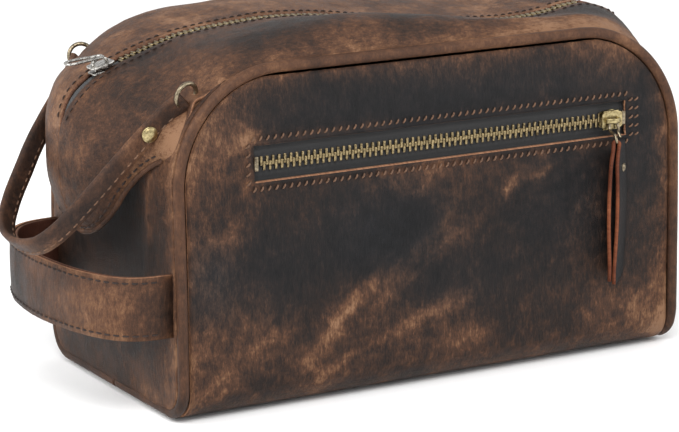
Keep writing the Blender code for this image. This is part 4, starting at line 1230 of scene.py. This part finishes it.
def outline_plate(name, outline, thick, mats, dome=0.0, bevel=0.25):
    """A plate from a closed outline in its own x, y plane, thick along z, softened."""
    bm = bmesh.new()
    vs = [bm.verts.new((x * MM, y * MM, -thick / 2 * MM)) for x, y in outline]
    f = bm.faces.new(vs)
    r = bmesh.ops.extrude_face_region(bm, geom=[f])
    top = [g for g in r["geom"] if isinstance(g, bmesh.types.BMVert)]
    for v in top:
        v.co.z = thick / 2 * MM
    bmesh.ops.recalc_face_normals(bm, faces=bm.faces)
    rim = [e for e in bm.edges if abs(e.verts[0].co.z - e.verts[1].co.z) < 1e-9]
    bmesh.ops.bevel(bm, geom=rim, offset=bevel * MM, segments=2, affect="EDGES", profile=0.6)
    me = bpy.data.meshes.new(name)
    bm.to_mesh(me)
    bm.free()
    o = bpy.data.objects.new(name, me)
    bpy.context.scene.collection.objects.link(o)
    for m in mats:
        me.materials.append(m)
    return o


def shield(half_nose, half_tail, front, back, r=1.0, k=5):
    """Outline of a zip slider's plate: wide at the shoulders, narrower at the tail."""
    pts = [(-back, half_tail), (front * 0.35, half_nose), (front, half_nose * 0.72), (front, -half_nose * 0.72), (front * 0.35, -half_nose), (-back, -half_tail)]
    P = np.array(pts, float)
    out = []
    n = len(P)
    for i in range(n):
        a, b, c = P[i - 1], P[i], P[(i + 1) % n]
        u, w = (a - b) / np.linalg.norm(a - b), (c - b) / np.linalg.norm(c - b)
        p, q = b + u * r, b + w * r
        for t in np.linspace(0, 1, k):
            out.append((1 - t) ** 2 * p + 2 * t * (1 - t) * b + t**2 * q)
    return [tuple(p) for p in out]


def join(name, objs):
    bpy.ops.object.select_all(action="DESELECT")
    for o in objs:
        o.select_set(True)
    bpy.context.view_layer.objects.active = objs[0]
    bpy.ops.object.join()
    objs[0].name = name
    objs[0].data.name = name
    return objs[0]


def slider(name, node, body, origin, ex, ey, ez, mat, plate=(3.9, 2.9, 5.2, 4.6), bail=3.2, gap=2.6):
    """Two plates held apart at the nose, with a raised bail along the top: ex points to the nose, ez up."""
    top = outline_plate(name + "_a", shield(*plate), 1.1, [mat])
    place(top, np.array(origin) + np.array(ez) * gap / 2, ex, ey, ez)
    bot = outline_plate(name + "_b", shield(*plate), 1.0, [mat])
    place(bot, np.array(origin) - np.array(ez) * gap / 2, ex, ey, ez)
    ex, ey, ez = (np.array(v, float) for v in (ex, ey, ez))
    parts = [top, bot]
    wall = rounded_box(name + "_w", (2.4, 1.6, gap), [mat], 0.3)
    place(wall, np.array(origin) + ex * (plate[2] - 1.8), ex, ey, ez)
    parts.append(wall)
    for s in (-1, 1):
        lip = rounded_box(name + "_l", (plate[2] + plate[3] - 2.6, 0.7, 1.5), [mat], 0.2)
        place(lip, np.array(origin) + ez * (gap / 2 - 0.4) + ey * s * (plate[1] + 0.55) - ex * 0.3, ex, ey, ez)
        parts.append(lip)
    base = np.array(origin) + ez * (gap / 2 + 0.4)
    path = catmull([tuple(base + ex * a + ez * h) for a, h in ((-3.3, 0.0), (-3.1, 1.3), (-2.0, bail - 0.6), (0.0, bail), (2.0, bail - 0.6), (3.1, 1.3), (3.3, 0.0))], 22)
    arch = sweep(name + "_c", path, ey, [(-0.45, -1.1), (0.45, -1.1), (0.6, -0.6), (0.6, 0.6), (0.45, 1.1), (-0.45, 1.1), (-0.6, 0.6), (-0.6, -0.6)], [mat])
    parts.append(arch)
    o = join(name, parts)
    finish_piece(o)
    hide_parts(node)
    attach(o, body)
    return o


slider("pocket_zip_slider_metal", "pocket_slider", "pocket_zip_slider", (90.0, -60.05, ZC), (1, 0, 0), (0, 0, 1), (0, -1, 0), M_RIVET, plate=(4.4, 3.4, 5.6, 5.2), bail=2.6, gap=2.6)

for sx, node in ((-1, "pocket_stop_left"), (1, "pocket_stop_right")):
    b = rounded_box("pocket_zip_" + node[7:], (1.9, 1.7, 6.2), [M_BRASS], 0.35)
    place(b, (-88.9 if sx < 0 else 97.6, -59.4, ZC), (1, 0, 0), (0, 1, 0), (0, 0, 1))
    finish_piece(b)
    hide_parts(node)
    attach(b, "bag")

PP = np.array([90.0, -62.9, 106.6])
HANG = np.array([90.0, -67.2, 98.0])
c38, s38 = math.cos(math.radians(38)), math.sin(math.radians(38))
PULL_W, PULL_N = np.array([c38, s38, 0.0]), np.array([s38, -c38, 0.0])


def pocket_pull():
    # a long wire loop: through the slider's bail at the top, the leather folded over its lower bar
    pts = [PP + np.array([0, 0.35, 0.9])]
    left = [(-2.0, 0.1, 0.2), (-2.9, -1.0, -4.0), (-3.3, -2.6, -9.0)]
    low = HANG + np.array([0, 0, 0.0])
    L_ = [PP + np.array([-1.6, 0.2, 0.4]), PP + np.array([-2.4, -0.7, -3.4]), PP * 0.45 + low * 0.55 - PULL_W * 2.9, low - PULL_W * 3.0 + np.array([0, 0, 1.2])]
    R_ = [low + PULL_W * 3.0 + np.array([0, 0, 1.2]), PP * 0.45 + low * 0.55 + PULL_W * 2.9, PP + np.array([2.4, -0.7, -3.4]), PP + np.array([1.6, 0.2, 0.4])]
    loop = np.array([PP + np.array([0, 0.3, 1.0])] + L_ + [low - PULL_W * 1.5, low + PULL_W * 1.5] + R_ + [PP + np.array([0, 0.3, 1.0])])
    path = catmull([tuple(p) for p in loop], 72)[:-1]
    centre = path.mean(0)
    nrm = np.array([0, -1.0, 0.3])
    o = sweep("pocket_pull_loop", path, nrm, circle(0.72, 10), [M_BRASS], closed=True)
    finish_piece(o)
    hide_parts("pocket_pull_wire")
    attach(o, "pocket_zip_pull")
    # the leather: one strip folded over the bar, its two ends side by side, cut to a slant
    z = np.linspace(0, 1, 34)
    path = []
    gapn = lambda t: 1.05 + 0.9 * np.sin(np.pi * min(t * 1.1, 1.0)) ** 1.0
    front = [(HANG + np.array([0, 0, -2.0 - 60.0 * t]) + PULL_N * gapn(t)) for t in z[::-1]]
    a = np.radians(np.linspace(-20, 200, 12))
    arc = [HANG + np.array([0, 0, 1.05 * 1.0 * math.sin(q)]) + PULL_N * (1.35 * math.cos(q)) for q in a]
    backs = [(HANG + np.array([0, 0, -2.0 - 59.0 * t]) - PULL_N * gapn(t)) for t in z]
    P = np.array(front[:-1] + arc + backs[1:])
    n = len(P)
    s = np.concatenate([[0], np.cumsum(np.linalg.norm(np.diff(P, axis=0), axis=1))])
    mid = s[-1] / 2
    dist = np.abs(s - mid)
    half = 3.0 + 2.9 * sstep(1.5, 12.0, dist)
    u = np.linspace(-1, 1, 9)
    bow = 0.35 * (1 - u**2)
    t = np.gradient(P, axis=0)
    t /= np.linalg.norm(t, axis=1)[:, None]
    nn = np.cross(t, PULL_W)
    V = P[:, None, :] + PULL_W[None, None, :] * (half[:, None] * u[None, :])[..., None] + nn[:, None, :] * (bow[None, :] * -0.6)[..., None]
    low = (s < 8) | (s > s[-1] - 8)
    cut = np.clip(1 - np.minimum(s, s[-1] - s) / 8.0, 0, 1)
    V[..., 2] += (cut[:, None] * u[None, :] * 1.6)
    o = sheet_obj("pocket_pull_strip", V, [M_PULL_DARK, M_PULL], thickness=1.7, offset=0, bevel=0.0, rim=1)
    finish_piece(o, tone=(0.04 + 0.16 * fbm(V, 12, 3, 91) - 0.05).reshape(-1), blue=np.full(V.shape[0] * V.shape[1], 0.6))
    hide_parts("pocket_pull_leather")
    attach(o, "pocket_zip_pull")
    dome("pocket_pull_rivet_head", HANG + np.array([0, 0, -11.0]) + PULL_N * 2.5, PULL_N, 2.0, 1.0, M_BRASS, "pocket_pull_rivet", "pocket_zip_pull")


def dome(name, centre, normal, r, h, mat, node=None, body=None):
    """A rivet's head: a low dome with a rolled rim."""
    n = np.array(normal, float) / np.linalg.norm(normal)
    a = np.cross(n, [0.3, 0.2, 1.0])
    a /= np.linalg.norm(a)
    b = np.cross(n, a)
    prof = [(0.0, h), (0.35, h * 0.97), (0.62, h * 0.80), (0.80, h * 0.52), (0.86, h * 0.42), (0.95, h * 0.42), (1.0, h * 0.22), (0.98, -0.1), (0.55, -0.6), (0.5, -1.6)]
    k = 28
    V, F = [], []
    for q, z in prof[1:]:
        for i in range(k):
            t = 2 * math.pi * i / k
            V.append(np.array(centre) + a * (r * q * math.cos(t)) + b * (r * q * math.sin(t)) + n * z)
    V.append(np.array(centre) + n * h)
    rings = len(prof) - 1
    for i in range(rings - 1):
        for j in range(k):
            F.append((i * k + j, i * k + (j + 1) % k, (i + 1) * k + (j + 1) % k, (i + 1) * k + j))
    for j in range(k):
        F.append((rings * k, (j + 1) % k, j))
    F.append(tuple((rings - 1) * k + j for j in range(k)))
    o = new_obj(name, np.array(V), F, [mat])
    bm = bmesh.new()
    bm.from_mesh(o.data)
    bmesh.ops.recalc_face_normals(bm, faces=bm.faces)
    bm.to_mesh(o.data)
    bm.free()
    finish_piece(o)
    if node:
        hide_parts(node)
    if body:
        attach(o, body)
    return o


pocket_pull()

# ---- side handle: two bands of leather sewn together, bowed out from the left end ------------
def handle_grid(off, half, m, ys=57.4):
    t = np.radians(np.linspace(0, 180, 76))
    sx = np.sin(t)
    x = -126.4 - (36.2 - off) * sx**0.50
    y = -(ys - off * 0.9) * np.cos(t) * (1 - 0.0 * sx)
    path = np.stack([x, y, 0 * x], 1)
    u = np.linspace(-1, 1, m)
    zc = 50.6 + 1.8 * sx * np.cos(t) * -0.3
    V = path[:, None, :] + np.stack([0 * u, 0 * u, u * half], 1)[None]
    V[..., 2] += zc[:, None] + 0.9 * np.sin(2.2 * t)[:, None]
    V[..., 0] -= 0.8 * (1 - u**2)[None, :] * sx[:, None]
    return V, t, u


def side_handle():
    V, t, u = handle_grid(0.0, 13.5, 15)
    wr = 0.45 * fbm(V * np.array([1, 1, 0.3]), 7, 3, 31) * np.sin(t)[:, None] ** 0.5 + 0.5 * fbm(V, 22, 2, 32)
    V[..., 0] -= wr * np.sin(t)[:, None]
    edge = np.abs(u)[None, :]
    tone = 0.02 + 0.20 * fbm(V, 26, 4, 33) + 0.16 * np.exp(-(1 - edge) * 13.5 / 2.4) + 0.10 * blob(V[..., 1], V[..., 2], -42, 50, 30, 14)
    # painted shade: the far half of the bow, past its outermost point, is darkened
    tone -= 0.10 * sstep(-150, -164, V[..., 0]) * sstep(-10, 20, V[..., 1])
    o = sheet_obj("side_handle_leather", V, [M_HANDLE, M_RAW], thickness=1.5, offset=-1, flip=False, bevel=0.0, rim=1)
    finish_piece(o, tone=tone.reshape(-1), blue=np.clip(fbm(V, 30, 3, 34) * 0.8, 0, 1).reshape(-1))
    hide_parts("side_handle_outer")
    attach(o, "bag")
    for k, uu in (("upper", 0.835), ("lower", -0.835)):
        j = np.interp(uu, u, np.arange(len(u)))
        a, b = int(j), min(int(j) + 1, len(u) - 1)
        path = V[:, a] * (1 - (j - a)) + V[:, b] * (j - a)
        tt = np.gradient(path, axis=0)
        nn = np.stack([-tt[:, 1], tt[:, 0], 0 * tt[:, 0]], 1)
        nn /= np.linalg.norm(nn, axis=1)[:, None]
        nn *= np.sign(nn[:, 0:1] * -1 + 1e-9) if False else 1
        c = np.array([-120.0, 0, 0])
        nn *= np.sign(((path - c) * nn).sum(1))[:, None]
        stitch_row(f"stitch_handle_{k}", path[1:-1], nn[1:-1], "bag", [M_THREAD_DARK], spacing=4.1, length=2.9, radius=0.42, lift=0.15)
    W, t, u = handle_grid(2.2, 13.3, 9)
    o = sheet_obj("side_handle_lining", W, [M_INNER, M_RAW_DARK], thickness=1.2, offset=-1, flip=False, bevel=0.0, rim=1)
    finish_piece(o, tone=(0.02 + 0.15 * fbm(W, 20, 3, 35)).reshape(-1))
    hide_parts("side_handle_inner")
    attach(o, "bag")


side_handle()

# ---- hanging loop: a folded strap that hangs from two rings over the left end ----------------
PHI = math.radians(44.4)
RADIAL = np.array([-math.sin(math.radians(45.6)), 0, math.cos(math.radians(45.6))])
RADIAL = np.array([-0.7145, 0, 0.6997])
DOWN = np.array([-0.6997, 0, -0.7145])
RC = np.array([-116.468, 0, 137.541])
STRAP = [(2.0, -51.4), (10, -47.6), (19, -46.0), (30, -44.6), (41, -43.6), (52, -42.8), (63, -41.2), (73, -39.2), (80.5, -35.4), (85.3, -29.5), (87.6, -21), (88, -11.5), (86, -1), (81, 8), (73.5, 15.2), (66, 20.6), (57, 26.0), (48.5, 31.2), (40, 35.2), (30, 38.4), (20, 41.6), (11, 44.6), (2, 49.0)]


def loop_strap():
    path2 = catmull(STRAP, 170)
    lift = 0.0
    path = RC[None, :] + DOWN[None, :] * path2[:, 0:1] + np.array([0, 1.0, 0])[None, :] * path2[:, 1:2]
    # a small natural wave off the plane
    s = np.linspace(0, 1, len(path))
    path = path + RADIAL[None, :] * (0.6 * np.sin(s * 7.0))[:, None]
    # folded section: rounded at its outer edge, two flat layers sewn at the other
    prof = [(-4.4, -1.25), (-2.2, -1.35), (0.6, -1.5), (2.8, -1.55), (3.9, -1.25), (4.5, -0.45), (4.5, 0.45), (3.9, 1.25), (2.8, 1.55), (0.6, 1.5), (-2.2, 1.35), (-4.4, 1.25), (-4.55, 0.9), (-4.55, 0.22), (-4.2, 0.0), (-4.55, -0.22), (-4.55, -0.9)]
    # swept with its width along the normal of the plane
    t = np.gradient(path, axis=0)
    t /= np.linalg.norm(t, axis=1)[:, None]
    n_ = RADIAL
    side = np.cross(t, n_)
    side /= np.linalg.norm(side, axis=1)[:, None]
    pr = np.array(prof)
    V = path[:, None, :] + n_[None, None, :] * pr[None, :, 0:1] + side[:, None, :] * pr[None, :, 1:2]
    n, m = V.shape[:2]
    wr = 0.22 * fbm(V, 7, 3, 41)
    V = V + side[:, None, :] * (wr * np.sign(pr[:, 1])[None, :])[..., None]
    faces = grid_faces(n, m, closed_v=True) + [tuple(range(m)), tuple((n - 1) * m + k for k in reversed(range(m)))]
    o = new_obj("loop_strap_leather", V.reshape(-1, 3), faces, [M_STRAP, M_RAW])
    bm = bmesh.new()
    bm.from_mesh(o.data)
    bmesh.ops.recalc_face_normals(bm, faces=bm.faces)
    bm.to_mesh(o.data)
    bm.free()
    edge = (pr[:, 0] < -4.1).astype(float)
    tone = 0.02 + 0.24 * fbm(V, 22, 4, 42) + 0.10 * np.exp(-np.abs(pr[None, :, 0] - 4.2) / 1.1) + 0.12 * edge[None, :]
    finish_piece(o, tone=tone.reshape(-1), blue=np.clip(fbm(V, 26, 3, 43), 0, 1).reshape(-1))
    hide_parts("loop_strap")
    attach(o, "loop")
    for k, sg in (("outer", -1), ("inner", 1)):
        rowp = path + n_[None, :] * -2.7 + side * (sg * 1.36)
        cut = slice(6, -6)
        stitch_row(f"stitch_loop_{k}", rowp[cut], (side * sg)[cut], "loop", [M_THREAD], spacing=4.2, length=2.8, radius=0.38)
    for side_y, node in ((-1, "loop_rivet_front"), (1, "loop_rivet_back")):
        i = int(np.argmin(np.abs(path2[:, 0] - 21.8) + 1000 * (path2[:, 1] * side_y < 0)))
        nrm = side[i] * np.sign(side[i][1] * side_y)
        dome(node + "_head", path[i] + nrm * 1.75, nrm, 3.5, 1.5, M_RIVET, node, "loop")
    return path, side


STRAP_PATH, STRAP_SIDE = loop_strap()

for sy, node in ((-1, "loop_ring_front"), (1, "loop_ring_back")):
    k = 40
    a = np.linspace(0, 2 * math.pi, k, endpoint=False)
    C = RC + np.array([0, sy * 50.4, 0])
    path = C[None, :] + 5.3 * (np.cos(a)[:, None] * RADIAL[None, :] * 0 + np.cos(a)[:, None] * DOWN[None, :] + np.sin(a)[:, None] * (RADIAL * 0.94 + np.array([0, 0.34 * sy, 0]))[None, :])
    axis = np.cross(DOWN, RADIAL * 0.94 + np.array([0, 0.34 * sy, 0]))
    o = sweep(node + "_wire", path, axis, circle(0.95, 12), [M_BRASS], closed=True)
    finish_piece(o)
    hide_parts(node)
    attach(o, "rings")

# ---- ring tabs --------------------------------------------------------------------------------
for sy, node in ((-1, "ring_tab_front"), (1, "ring_tab_back")):
    ang = np.radians(np.linspace(166, 127, 34))
    rr = 50.3 + 2.3 * np.exp(-(((np.degrees(ang) - 135.6) / 4.0) ** 2))
    px = -76.6 + rr * np.cos(ang)
    pz = 98.4 + rr * np.sin(ang)
    path = np.stack([px, np.full_like(px, sy * 50.2), pz], 1)
    rad = np.stack([np.cos(ang), 0 * ang, np.sin(ang)], 1)
    u = np.linspace(-1, 1, 7)
    V = path[:, None, :] + np.stack([0 * u, u * 3.6, 0 * u], 1)[None] + rad[:, None, :] * (0.5 - 0.5 * u**2)[None, :, None]
    o = sheet_obj(node + "_leather", V, [M_TAB, M_RAW], thickness=1.4, offset=0, flip=sy > 0, bevel=0, rim=1)
    finish_piece(o, tone=(0.10 + 0.14 * fbm(V, 14, 3, 44)).reshape(-1))
    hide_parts(node)
    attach(o, "bag")

# ---- main slider and its pull ------------------------------------------------------------------
sd = np.array([0.975, 0, 0.22])
sd /= np.linalg.norm(sd)
su = np.array([-sd[2], 0, sd[0]])
slider("main_zip_slider_metal", "main_slider", "zip_slider", (-131.0, 0, 142.2), sd, (0, 1, 0), su, M_SLIDER, plate=(4.4, 3.2, 5.8, 5.2), bail=2.7, gap=2.6)


def main_pull():
    P0 = np.array([-131.4, 0, 146.8])
    pts = [(0.9, 0, 0.3), (0.6, 1.7, 0.2), (-2.5, 2.2, -0.2), (-8, 2.9, -0.7), (-13.2, 3.0, -1.3), (-15.2, 1.8, -1.6), (-15.6, 0, -1.7), (-15.2, -1.8, -1.6), (-13.2, -3.0, -1.3), (-8, -2.9, -0.7), (-2.5, -2.2, -0.2), (0.6, -1.7, 0.2), (0.9, 0, 0.3)]
    path = catmull([tuple(P0 + np.array(p)) for p in pts], 70)[:-1]
    o = sweep("main_zip_pull_loop", path, (0, 0, 1), circle(0.75, 10, 0.8), [M_SLIDER], closed=True)
    finish_piece(o)
    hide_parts("main_pull")
    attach(o, "zip_pull")


main_pull()

# ---- inside: cloth lining and the pocket's cloth bag ---------------------------------------------
def box_bag(name, node, x1, y0, y1, z0, z1, r, mat, seed, wall=0.7, body="bag"):
    """A cloth bag, open at the top, with soft creases."""
    ang = []
    corners = [(x1 - r, y1 - r, 0), (-(x1 - r), y1 - r, 90), (-(x1 - r), y0 + r, 180), (x1 - r, y0 + r, 270)]
    ring = []
    for cx, cy, a0 in corners:
        for a in np.linspace(a0, a0 + 90, 9):
            ring.append((cx + r * math.cos(math.radians(a)), cy + r * math.sin(math.radians(a))))
    ring = np.array(ring + [ring[0]])
    s = np.concatenate([[0], np.cumsum(np.linalg.norm(np.diff(ring, axis=0), axis=1))])
    k = 150
    u = np.linspace(0, s[-1], k, endpoint=False)
    R = np.stack([np.interp(u, s, ring[:, 0]), np.interp(u, s, ring[:, 1])], 1)
    rows = []
    centre = R.mean(0)
    for q in np.linspace(0.08, 1.0, 8):
        rows.append(np.c_[centre + (R - centre) * q, np.full(k, z0)])
    for z in np.linspace(z0 + 4, z1, 40):
        rows.append(np.c_[R, np.full(k, z)])
    P = np.array(rows)
    out = R - centre
    out /= np.linalg.norm(out, axis=1)[:, None]
    hh = np.clip((P[..., 2] - z0) / 8, 0, 1)
    f = 1.1 * fbm(P * np.array([1, 1, 0.35]), 26, 3, seed) - 0.9
    P[..., :2] += (out[None] * (f * hh)[..., None])
    n, m = P.shape[:2]
    faces = grid_faces(n, m, closed_v=True) + [tuple(range(m))]
    o = new_obj(name, P.reshape(-1, 3), faces, [mat])
    bm = bmesh.new()
    bm.from_mesh(o.data)
    bmesh.ops.recalc_face_normals(bm, faces=bm.faces)
    bm.to_mesh(o.data)
    bm.free()
    so = o.modifiers.new("Thickness", "SOLIDIFY")
    so.thickness = wall * MM
    so.offset = 0
    finish_piece(o)
    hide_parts(node)
    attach(o, body)
    return o


def cloth_shell(name, node, hwf, y0, y1, z0, z1, r, mat, seed, slack, open_front=None):
    """A sewn cloth bag, open at its top: its half width at each height is hwf(z)."""
    k = 168
    rows = []

    def ring(x1):
        pts = []
        for cx, cy, a0 in ((x1 - r, y1 - r, 0), (-(x1 - r), y1 - r, 90), (-(x1 - r), y0 + r, 180), (x1 - r, y0 + r, 270)):
            for a in np.linspace(a0, a0 + 90, 7):
                pts.append((cx + r * math.cos(math.radians(a)), cy + r * math.sin(math.radians(a))))
        pts = np.array(pts + [pts[0]])
        s = np.concatenate([[0], np.cumsum(np.linalg.norm(np.diff(pts, axis=0), axis=1))])
        u = np.linspace(0, s[-1], k, endpoint=False)
        return np.stack([np.interp(u, s, pts[:, 0]), np.interp(u, s, pts[:, 1])], 1)

    R0 = ring(hwf(z0 + 6))
    c = np.array([0, (y0 + y1) / 2])
    for q in np.linspace(0.06, 0.97, 10):
        rows.append(np.c_[c + (R0 - c) * q, np.full(k, z0)])
    for z in np.linspace(z0 + 2.5, z1, 46):
        rows.append(np.c_[ring(hwf(z)), np.full(k, z)])
    P = np.array(rows)
    out = R0 - c
    out /= np.linalg.norm(out, axis=1)[:, None]
    hh = np.clip((P[..., 2] - z0) / 8, 0, 1)
    f = slack * (fbm(P * np.array([1, 1, 0.4]), 24, 3, seed) - 0.75)
    P[..., :2] += out[None] * (f * hh)[..., None]
    n, m = P.shape[:2]
    o = new_obj(name, P.reshape(-1, 3), grid_faces(n, m, closed_v=True) + [tuple(range(m))], [mat])
    bm = bmesh.new()
    bm.from_mesh(o.data)
    bmesh.ops.recalc_face_normals(bm, faces=bm.faces)
    area = sum(fc.calc_area() for fc in bm.faces)
    bm.to_mesh(o.data)
    bm.free()
    finish_piece(o)
    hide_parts(node)
    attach(o, "bag")
    return o


cloth_shell("lining_cloth_bag", "lining", lambda z: min(122.6, float(half_width(z)) - 3.6), -50.2, 57.2, 2.6, 139.0, 7.0, M_LINING, 81, 0.9)
cloth_shell("pocket_cloth_bag", "pocket_bag", lambda z: 95.5, -56.6, -51.2, 28.5, 120.5, 2.2, M_POCKET, 82, 0.35)


# ---- floor, light and camera --------------------------------------------------------------
def stage():
    bm = bmesh.new()
    bmesh.ops.create_grid(bm, x_segments=2, y_segments=2, size=6.0)
    me = bpy.data.meshes.new("floor")
    bm.to_mesh(me)
    bm.free()
    o = bpy.data.objects.new("floor", me)
    o.location.z = -0.0012
    bpy.context.scene.collection.objects.link(o)
    m, nt, bs = nodes_for("floor_pale")
    bs.inputs["Base Color"].default_value = (0.96, 0.96, 0.96, 1)
    bs.inputs["Roughness"].default_value = 0.9
    bs.inputs["Specular IOR Level"].default_value = 0.1
    me.materials.append(m)
    w = bpy.data.worlds.new("studio")
    bpy.context.scene.world = w
    w.use_nodes = True
    bg = w.node_tree.nodes["Background"]
    bg.inputs["Color"].default_value = (1.0, 1.0, 1.0, 1)
    bg.inputs["Strength"].default_value = 0.85

    def area(name, loc, target, size, power, colour=(1, 1, 1)):
        l = bpy.data.lights.new(name, "AREA")
        l.shape = "RECTANGLE"
        l.size, l.size_y = size
        l.energy = power
        l.color = colour
        ob = bpy.data.objects.new(name, l)
        ob.location = loc
        ob.rotation_euler = (Vector(target) - Vector(loc)).to_track_quat("-Z", "Y").to_euler()
        bpy.context.scene.collection.objects.link(ob)

    area("key", (-0.55, -1.05, 1.25), (0, 0, 0.07), (0.9, 0.7), 20)
    area("fill", (0.95, -0.75, 0.55), (0, 0, 0.07), (0.7, 0.7), 5)
    area("rim_left", (-1.1, 0.25, 0.7), (-0.08, 0, 0.08), (0.6, 0.6), 9)


stage()

AZ, EL, DIST = math.radians(-30.138), math.radians(13.877), 1.34533
back = Vector((math.sin(AZ) * math.cos(EL), -math.cos(AZ) * math.cos(EL), math.sin(EL)))
bpy.context.scene.view_settings.view_transform = "Standard"
cam_data = bpy.data.cameras.new("camera")
cam_data.sensor_width = 36.0
cam_data.lens = 3000.0 / 679.0 * 36.0
cam_data.clip_start = 0.05
cam_data.clip_end = 50
cam = bpy.data.objects.new("camera", cam_data)
cam.location = Vector((-0.014173, 0, 0.062984)) + back * DIST
cam.rotation_euler = back.to_track_quat("Z", "Y").to_euler()
bpy.context.scene.collection.objects.link(cam)
bpy.context.scene.camera = cam
